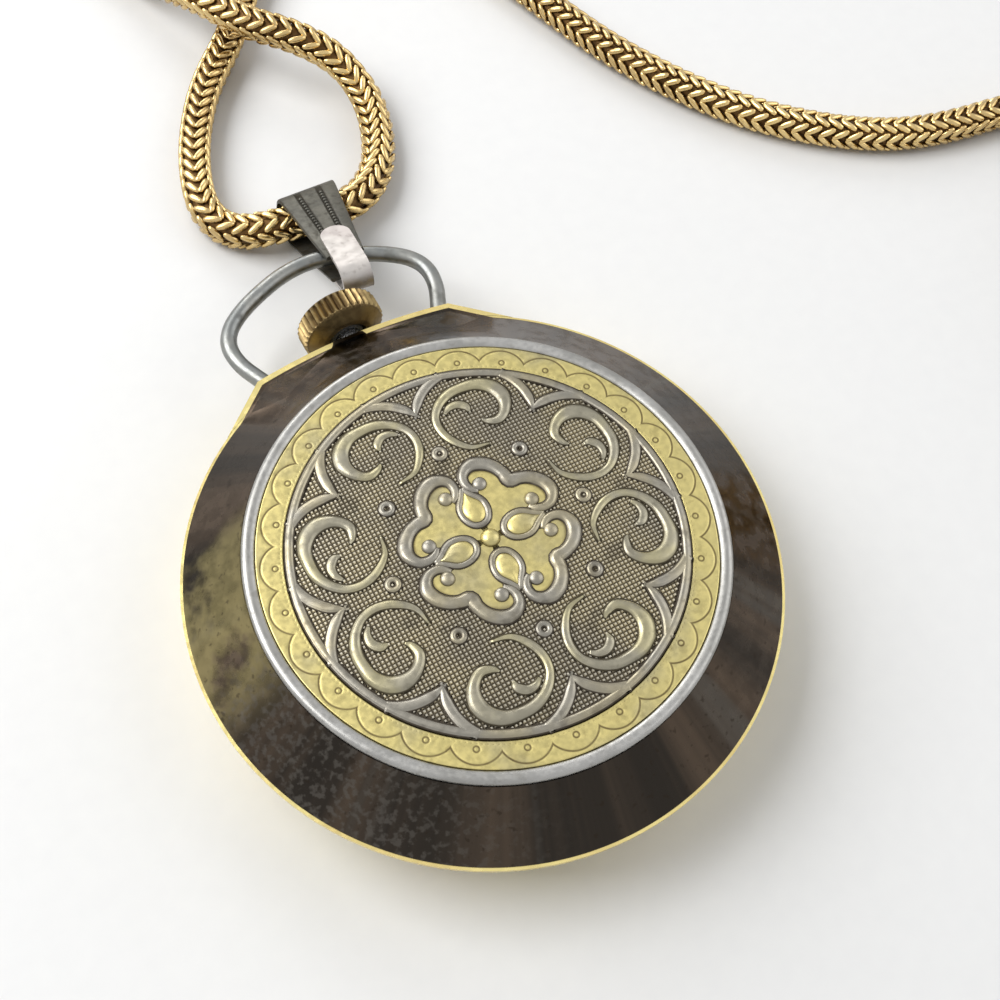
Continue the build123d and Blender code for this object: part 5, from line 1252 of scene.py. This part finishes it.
@dataclass
class NeckChain:
    """The wheat chain: rows of leaning oval links round a dark core of painted shade, along two strands.

    Rows of SHORT and TAIL are places in millimetres that the strands run over. LONG gives x and y
    of the places where the long strand lies on the table. FINE_LINK and PLAIN_LINK hold the rings
    and sides of a link's mesh.
    """

    bail: BailPlace
    diameter: float = 2.3
    pitch: float = 0.94
    rows: int = 8
    link_lean: float = 33.0
    link_tilt: float = 9.0
    link_halves: Place = (0.66, 0.235, 0.2)
    ring_radius: float = 0.93
    core_radius: float = 0.78
    core_sides: int = 8
    hollow_radius: float = 0.72
    crest_rise: float = 0.36
    twist_per_mm: float = 1.1
    fold_run: float = 2.7
    coil_outer_radius: float = 16.6
    layer_step: float = 2.8
    inward_half_turns: int = 5
    outward_half_turns: int = 4
    points_per_half_turn: int = 12
    tail_run: float = 4.0
    still_end: Place = (26.8 * MM, 20.1 * MM, 4.2 * MM)
    moving_end: Place = (15.2 * MM, 11.4 * MM, 4.2 * MM)

    SHORT = ((8.4, 30.2, 1.25), (10.0, 33.2, 1.15), (10.8, 36.5, 1.4), (9.9, 39.4, 2.7),
             (7.7, 41.3, 3.95), (5.0, 44.0, 3.95), (3.3, 47.3, 3.95), (2.0, 51.2, 2.5),
             (0.6, 55.4, 1.15), (-1.4, 59.8, 1.37), (-4.2, 63.8, 1.37))
    LONG = ((-3.3, 31.9), (-2.8, 34.8), (-1.4, 38.3), (1.0, 42.2), (4.5, 45.7), (7.0, 49.2),
            (9.8, 52.8), (13.8, 55.2), (18.2, 54.9), (21.8, 52.0), (23.9, 47.8), (25.4, 43.4),
            (26.9, 38.6), (28.4, 34.0), (30.2, 30.2), (32.3, 26.7), (34.6, 23.7), (37.2, 21.2),
            (40.1, 19.0), (43.4, 17.3), (47.2, 16.3), (52.0, 15.8), (57.0, 14.6), (61.4, 13.6),
            (65.5, 13.6))
    LONG_START = (-2.3, 29.7, 1.2)
    FINE_LINK = (5, 8)
    PLAIN_LINK = (3, 5)
    TAIL = ((74.8, 12.2, 3.95), (79.4, 13.2, 2.0), (84.2, 12.4, 1.37), (89.2, 10.0, 1.37))

    def route(self, side: int, places: Sequence[Place]) -> list[Vector]:
        """Run a strand from the bail's fold over its places.

        Args:
            side: 1 for the strand that leaves to the right and -1 for the other.
            places: The places in millimetres.

        Returns:
            All places of the strand.
        """
        fold = [self.bail.place(self.bail.reach, run, 0.0) for run in (0.0, side * self.fold_run)]
        return fold + [Vector(place) for place in places]

    def long_route(self) -> list[Vector]:
        """Run the long strand over the table, round its coil and along its tail.

        Returns:
            All places of the strand.
        """
        lying = [(x, y, self.diameter / 2) for x, y in self.LONG]
        points = self.route(-1, [self.LONG_START, *lying])
        points += self.coil_points(points[-1])
        points.append(points[-1] + Vector((self.tail_run, 0, 0)))
        return points + [Vector(place) for place in self.TAIL]

    def coil_points(self, start: Vector) -> list[Vector]:
        """Points round the coil: half turns in, one that climbs a layer, and half turns out.

        Args:
            start: Where the coil begins, heading along +X.

        Returns:
            The points after the start.
        """
        points, radius, side = [start], self.coil_outer_radius, 1
        for number in range(self.inward_half_turns + 1 + self.outward_half_turns):
            if number > self.inward_half_turns:
                radius += self.layer_step / 2
            climb = self.layer_step if number == self.inward_half_turns else 0.0
            middle = points[-1] - Vector((0, radius * side, 0))
            for step in range(1, self.points_per_half_turn + 1):
                share = step / self.points_per_half_turn
                angle = math.pi * share
                points.append(middle + Vector((radius * side * math.sin(angle),
                                               radius * side * math.cos(angle), climb * share)))
            side = -side
            if number < self.inward_half_turns:
                radius -= self.layer_step / 2
        return points[1:]

    def line(self, name: str, route: list[Vector]) -> Rows:
        """Even steps along the smooth line of a route.

        Args:
            name: Name for the curve.
            route: The route's places in millimetres.

        Returns:
            Points in metres, half a pitch apart.
        """
        curve = pulled_curve(name, route, resolution=24)
        mesh = bpy.data.meshes.new_from_object(curve)
        points = numpy.array([vertex.co for vertex in mesh.vertices])
        bpy.data.objects.remove(curve)
        runs = numpy.linalg.norm(numpy.diff(points, axis=0), axis=1)
        along = numpy.concatenate(([0.0], numpy.cumsum(runs)))
        stops = numpy.linspace(0.0, along[-1], round(along[-1] / (self.pitch * MM / 2)) + 1)
        return numpy.column_stack([numpy.interp(stops, along, axis) for axis in points.T])

    def axes(self, line: Rows) -> tuple[Rows, Rows, Rows]:
        """Directions along, up from and across a line at each of its points.

        Args:
            line: The line.

        Returns:
            Three arrays of unit vectors.
        """
        ahead = numpy.gradient(line, axis=0)
        ahead /= numpy.linalg.norm(ahead, axis=1)[:, None]
        across = numpy.cross(ahead, (0.0, 0.0, 1.0))
        across /= numpy.linalg.norm(across, axis=1)[:, None]
        return ahead, numpy.cross(across, ahead), across

    def strand(self, name: str, route: list[Vector], roll: float, plain_after: float) -> tuple[Piece, Rows]:
        """Build one strand with its links and its core.

        Args:
            name: The piece's name.
            route: The strand's places in millimetres.
            roll: Turn of the rows at the strand's start, in degrees.
            plain_after: Distance along it, in millimetres, after which its links are plainer.

        Returns:
            The piece and the line that it follows.
        """
        line = self.line(name + "_line", route)
        ahead, up, across = self.axes(line)
        step = numpy.linalg.norm(line[1] - line[0]) / MM
        tilt = math.radians(self.link_tilt)
        halves = numpy.array(self.link_halves)[:, None] * MM
        vertices, faces, relief = [], [], []
        total = 0
        fine, plain = oval_bead(*self.FINE_LINK), oval_bead(*self.PLAIN_LINK)
        for row in range(self.rows):
            lean = math.radians(self.link_lean) * (1 if row % 2 else -1)
            for station in range(1 + (row // 2) % 2, len(line) - 1, 2):
                run = station * step
                shape, shape_faces = fine if run < plain_after else plain
                turn = (math.radians(roll + self.twist_per_mm * min(run, plain_after))
                        + math.tau * (row + 0.5) / self.rows)
                outward = math.cos(turn) * up[station] + math.sin(turn) * across[station]
                around = -math.sin(turn) * up[station] + math.cos(turn) * across[station]
                flat = math.cos(lean) * ahead[station] + math.sin(lean) * around
                length = math.cos(tilt) * flat + math.sin(tilt) * outward
                width = -math.sin(lean) * ahead[station] + math.cos(lean) * around
                axes = numpy.stack((length, width, numpy.cross(length, width))) * halves
                places = line[station] + outward * self.ring_radius * MM + shape @ axes
                # Link parts near the core get low relief values and turn dark: painted shade where the
                # links tuck under each other.
                away = numpy.linalg.norm(numpy.cross(places - line[station], ahead[station]), axis=1)
                relief.append(numpy.clip((away / MM - self.hollow_radius) / self.crest_rise, 0.0, 1.0))
                vertices.append(places)
                faces += shifted(shape_faces, total)
                total += len(shape)
        links = new_piece(name, numpy.concatenate(vertices), faces, numpy.concatenate(relief))
        core = self.core(name + "_core", line, up, across)
        dress(links, CHAIN_GOLD)
        dress(core, CHAIN_SHADE_CORE)
        return joined(name, core, links), line

    def core(self, name: str, line: Rows, up: Rows, across: Rows) -> Piece:
        """Build the dark tube inside the links, painted shade between them, with a ring at every second
        point.

        Args:
            name: The piece's name.
            line: The line that it follows.
            up: Upward directions along it.
            across: Sideways directions along it.

        Returns:
            The tube.
        """
        ring = circle(self.core_sides, self.core_radius * MM)[:, :, None]
        places = line[::2, None] + ring[:, 0] * up[::2, None] + ring[:, 1] * across[::2, None]
        faces = tube_faces(len(places), self.core_sides) + end_faces(len(places), self.core_sides)
        return new_piece(name, places.reshape(-1, 3), faces, 0.0)

    def build(self) -> None:
        """Build both strands and dress the caps, the jump rings and the clasp."""
        fittings = [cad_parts[node]
                    for node in ("chain_end_caps", "jump_rings", "clasp_ring", "clasp_bolt")]
        for fitting in fittings:
            dress(fitting, GOLD_PLATE)
        short = self.strand("chain_short", self.route(1, self.SHORT), roll=0.0, plain_after=60.0)
        long = self.strand("chain_long", self.long_route(), roll=35.0, plain_after=112.0)
        for (piece, line), nodes, on_it in (
                (short, ("chain_short_strand",), fittings),
                (long, ("chain_long_strand", "chain_coil", "chain_tail"), [])):
            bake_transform(piece)
            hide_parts(*nodes)


@dataclass
class Pendant:
    """The bow, the crown, the back cover's skin and the bail's leaf, in millimetres.

    BOW_HALF gives x and y along half the bow. A row of CROWN is a radius, a distance along the
    stem and a relief value. A row of LEAF_TOP is a share of the leaf's half width and a level,
    where MILLED marks the floor of the two milled lines. LEAF_BEAD holds the rings and sides of a
    bead's mesh. SKIN_HEIGHTS go from the skin's foot over its outer face to its inner edge.
    """

    bail: BailPlace
    stem_height: float = 4.2
    wire_radius: float = 0.5
    crown_ridges: int = 36
    ridge_steps: int = 8
    ridge_sharpness: float = 0.8
    groove_shade: float = 0.9
    ridge_depth: float = 0.24
    ridge_start: float = 2.48
    ridge_run: float = 0.08
    leaf_start: float = -1.3
    leaf_throat: float = 0.64
    leaf_loop: float = 1.4
    leaf_half_sheet: float = 0.125
    leaf_narrow: float = 1.2
    leaf_wide: float = 2.1
    leaf_slant: float = 0.4
    leaf_steps: int = 24
    milled_stations: int = 27
    milled_level: float = 0.15
    sheet_level: float = 0.9
    fold_steps: int = 20
    bead_radius: float = 0.13
    bead_step: float = 0.31
    bead_first: float = 2.5
    bead_aside: float = 0.38
    bead_lift: float = 0.07
    bead_margin: float = 0.1
    bead_stretch: float = 1.1
    bead_level: float = 0.25
    skin_steps: int = 720
    plate_arc_radius: float = 35.52
    plate_arc_centre: float = -19.03
    plate_end: float = 21.27
    plate_end_slope: float = 0.87
    plate_half_reach: float = 0.8
    strip_width: float = 0.33
    notch_place: float = 0.25
    notch_half: float = 1.1
    notch_run: float = 0.15
    skin_edge: float = 16.34
    skin_inset: float = 0.03
    skin_top_radius: float = 13.06

    BOW_HALF = ((0.0, 23.4), (1.6, 23.2), (3.3, 22.6), (4.85, 21.85), (6.1, 20.9), (6.68, 19.75),
                (6.55, 18.3), (5.95, 16.95), (5.75, 16.55))
    # The lower relief values on the collar and the conical underside are painted shade.
    CROWN = ((0.0, 18.78, 0.6), (0.49, 18.78, 0.6), (0.49, 18.5, 0.6), (1.25, 18.5, 0.4),
             (1.25, 17.2, 0.3), (1.55, 17.2, 0.35), (1.62, 17.24, 0.45), (2.35, 17.6, 0.5),
             (2.46, 17.68, 0.3), (2.5, 17.72, 0.7), (2.58, 17.78, 1.0), (2.6, 17.85, 1.0),
             (2.6, 18.3, 1.0), (2.6, 18.8, 1.0), (2.57, 18.9, 1.0), (2.46, 18.97, 0.7),
             (2.3, 18.99, 1.0), (0.0, 19.0, 1.0))
    SKIN_HEIGHTS = (4.97, 5.1, 5.12, 7.75, 7.35)
    LEAF_BEAD = (3, 8)
    MILLED = 0.5
    LEAF_TOP = ((-1.0, -0.5), (-0.97, 0.7), (-0.92, 1.0), (-0.52, 1.0), (-0.48, MILLED),
                (-0.28, MILLED), (-0.24, 1.0), (0.24, 1.0), (0.28, MILLED), (0.48, MILLED),
                (0.52, 1.0), (0.92, 1.0), (0.97, 0.7), (1.0, -0.5), (1.0, -1.0), (-1.0, -1.0))

    def bow(self) -> None:
        """Build the bow, one bent wire."""
        plan = [*((-x, y) for x, y in self.BOW_HALF[:0:-1]), *self.BOW_HALF]
        piece = pulled_curve("bow_wire", [(x, y, self.stem_height) for x, y in plan], resolution=12)
        piece.data.bevel_depth = self.wire_radius * MM
        piece.data.bevel_resolution = 5
        piece.data.use_fill_caps = True
        choose(piece)
        bpy.ops.object.convert(target="MESH")
        piece = bpy.context.view_layer.objects.active
        seal(piece)
        bpy.ops.object.shade_smooth()
        mount(piece, BOW_STEEL, "case", "bow_steel", "bow")

    def crown(self) -> None:
        """Build the crown with its fine ridges, with painted shade in their grooves and on its underside.
        """
        around = self.crown_ridges * self.ridge_steps
        radius, along, levels = (column[:, None] for column in numpy.array(self.CROWN).T)
        turns = numpy.linspace(0, math.tau, around, endpoint=False)
        share = numpy.clip((radius - self.ridge_start) / self.ridge_run, 0.0, 1.0)
        # The grooves between the ridges are darkened as painted shade.
        groove = (0.5 - 0.5 * numpy.cos(turns * self.crown_ridges)) ** self.ridge_sharpness * share
        levels = levels * (1.0 - self.groove_shade * groove)
        radius = radius - self.ridge_depth * groove
        vertices = numpy.stack((radius * numpy.cos(turns), numpy.broadcast_to(along, radius.shape),
                                self.stem_height + radius * numpy.sin(turns)), axis=2) * MM
        piece = new_piece("crown_knob", vertices.reshape(-1, 3), tube_faces(len(self.CROWN), around),
                          levels.ravel())
        seal(piece, merge=0.0002, crease=50.0)
        mount(piece, CROWN_BRONZE, "crown", "crown_bronze", "crown")

    def leaf_stations(self) -> list[tuple[PlanPoint, PlanPoint]]:
        """Points along the leaf's folded sheet, each with its outward direction.

        Returns:
            A point (distances along the bail and above it) and a direction for each station.
        """
        run = self.bail.reach - self.leaf_start
        distance = math.hypot(run, self.leaf_throat)
        rise = math.asin(self.leaf_loop / distance) - math.atan2(self.leaf_throat, run)
        length = math.sqrt(distance ** 2 - self.leaf_loop ** 2)
        out = (-math.sin(rise), math.cos(rise))
        top, fold = [], []
        for step in range(self.leaf_steps + 1):
            go = length * step / self.leaf_steps
            ahead = self.leaf_start + go * math.cos(rise) + out[0] * self.leaf_half_sheet
            above = self.leaf_throat + go * math.sin(rise) + out[1] * self.leaf_half_sheet
            top.append(((ahead, above), out))
        radius = self.leaf_loop + self.leaf_half_sheet
        for step in range(1, self.fold_steps):
            turn = (math.pi / 2 + rise) * (1 - 2 * step / self.fold_steps)
            way = (math.cos(turn), math.sin(turn))
            fold.append(((self.bail.reach + radius * way[0], radius * way[1]), way))
        bottom = [((ahead, -above), (way[0], -way[1])) for (ahead, above), way in reversed(top)]
        return top + fold + bottom

    def on_leaf(self, spot: PlanPoint, way: PlanPoint, across: float, lift: float,
                slanting: float = 1.0) -> Vector:
        """A point of the leaf, which is wider towards its fold and slants at the upper sheet's end.

        Args:
            spot: Distances along the bail and above it.
            way: The sheet's outward direction there.
            across: Share of the half width, from -1 to 1.
            lift: Distance outward.
            slanting: Share of the slant, 1 on the upper sheet and about 0 on the lower one.

        Returns:
            The point in millimetres.
        """
        share = (spot[0] - self.leaf_start) / (self.bail.reach + self.leaf_loop - self.leaf_start)
        half = self.leaf_narrow + (self.leaf_wide - self.leaf_narrow) * share
        slant = self.leaf_slant * share * (1.0 + across) * slanting
        return self.bail.place(spot[0] + slant + way[0] * lift, across * half,
                               spot[1] + way[1] * lift)

    def leaf(self) -> None:
        """Build the bail's leaf: a folded sheet with two milled lines of beads."""
        stations = self.leaf_stations()
        sides = len(self.LEAF_TOP)
        vertices, levels = [], []
        for number, (spot, way) in enumerate(stations):
            milled = number < self.milled_stations
            for across, level in self.LEAF_TOP:
                floor = level == self.MILLED
                lift = (1.0 if floor and not milled else level) * self.leaf_half_sheet
                place = self.on_leaf(spot, way, across, lift, 0.5 + 0.5 * way[1])
                vertices.append(place * MM)
                levels.append(self.milled_level if floor and milled else self.sheet_level)
        faces = tube_faces(len(stations), sides) + end_faces(len(stations), sides)
        shape, shape_faces = oval_bead(*self.LEAF_BEAD)
        bead = shape * (1.0, self.bead_stretch, 1.0) @ numpy.array(self.bail.axes())
        bead *= self.bead_radius
        crests = numpy.maximum(shape[:, 2], 0.0)
        for spot, way in self.bead_places(stations):
            for aside in (-self.bead_aside, self.bead_aside):
                centre = numpy.array(self.on_leaf(spot, way, aside, self.bead_lift))
                faces += shifted(shape_faces, len(vertices))
                vertices += [*((centre + bead) * MM)]
                levels += [*(self.bead_level + (1.0 - self.bead_level) * crests)]
        piece = new_piece("leaf_sheet", vertices, faces, levels)
        seal(piece, crease=30.0)
        mount(piece, LEAF_STEEL, "bail", "bail_leaf_steel", "bail_leaf")

    def bead_places(self, stations: list[tuple[PlanPoint, PlanPoint]]) -> list[tuple[Rows, PlanPoint]]:
        """Places of the leaf's beads along its upper sheet.

        Args:
            stations: The leaf's stations.

        Returns:
            Each bead's point and outward direction.
        """
        (first, way), (last, _) = stations[0], stations[self.leaf_steps]
        run = numpy.subtract(last, first)
        length = numpy.hypot(*run)
        return [(first + run * go / length, way)
                for go in numpy.arange(self.bead_first, length - self.bead_margin, self.bead_step)]

    def back_skin(self) -> None:
        """Build the back's dark skin, which leaves a line of gold bare, wider at the plate."""
        turns = numpy.linspace(0, math.tau, self.skin_steps, endpoint=False)
        ahead, aside = numpy.sin(turns), numpy.abs(numpy.cos(turns))
        arc = (self.plate_arc_centre * ahead
               + numpy.sqrt(self.plate_arc_radius ** 2 - (self.plate_arc_centre * aside) ** 2))
        ends = self.plate_end / (numpy.maximum(ahead, 0.1) + self.plate_end_slope * aside)
        plate = numpy.where(ahead > self.plate_half_reach, numpy.minimum(arc, ends), 0.0)
        beside = numpy.abs(plate * numpy.cos(turns) + self.notch_place)
        notch = numpy.clip((self.notch_half - beside) / self.notch_run, 0.0, 1.0)
        outer = numpy.maximum(plate + notch * self.strip_width, self.skin_edge)
        radii = (outer, outer, self.skin_edge - self.skin_inset, self.skin_top_radius,
                 self.skin_top_radius)
        vertices = [numpy.insert(circle(self.skin_steps, radius), 2, height, axis=1) * MM
                    for radius, height in zip(radii, self.SKIN_HEIGHTS)]
        faces = tube_faces(len(radii), self.skin_steps, closed=True)
        piece = new_piece("back_shoulder", numpy.vstack(vertices), faces)
        seal(piece, crease=40.0)
        mount(piece, BACK_STEEL, "case", "back_steel")

    def build(self) -> None:
        """Build the group's pieces."""
        self.bow()
        self.crown()
        self.leaf()
        self.back_skin()


class CadFinishes:
    """Finishes of the nodes that come from the CAD model."""

    NODES = {
        BACK_STEEL: ("case_back",),
        GOLD_PLATE: ("case_middle", "front_bezel", "pendant_plate"),
        SILVER_RIM: ("medallion_rim",),
        BOW_STEEL: ("bow",),
        CROWN_BRONZE: ("crown",),
        LEAF_STEEL: ("bail_leaf",),
        STRAP_SILVER: ("bail_strap",),
        CRYSTAL: ("crystal",),
        SEAL_RUBBER: ("crystal_gasket", "crown_gasket"),
        DIAL_LACQUER: ("dial", "dial_ring"),
        NICKEL: ("main_plate", "barrel_bridge", "train_bridge", "pallet_bridge", "balance_cock",
                 "movement_ring"),
        WHEEL_BRASS: ("center_wheel", "third_wheel", "fourth_wheel", "minute_wheel", "hour_wheel",
                      "mainspring_barrel", "balance_wheel", "hour_markers", "hour_hand",
                      "minute_hand"),
        BRIGHT_STEEL: ("crown_tube", "winding_stem", "winding_pinion", "sliding_clutch",
                       "case_clamps", "barrel_arbor", "ratchet_wheel", "crown_wheel", "click",
                       "escape_wheel", "pallet_fork", "cannon_pinion", "setting_wheel",
                       "plate_posts", "setting_lever", "yoke"),
        BLUED_STEEL: ("mainspring", "hairspring", "movement_screws"),
        RUBY: ("jewels",),
    }

    def build(self) -> None:
        """Dress every node in its own finish."""
        for finish, nodes in self.NODES.items():
            for node in nodes:
                dress(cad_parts[node], finish)
                set_relief(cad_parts[node])


def main() -> None:
    """Build the scene in order and report its pieces."""
    logging.basicConfig(level=logging.INFO, format="%(name)s: %(message)s")
    bpy.context.scene.view_settings.view_transform = "Standard"
    bail = BailPlace()
    for group in (PhotoCamera(), Studio(), NeckChain(bail), CadFinishes(), Medallion(Dome()),
                  Pendant(bail)):
        group.build()


if __name__ == "__main__":
    main()
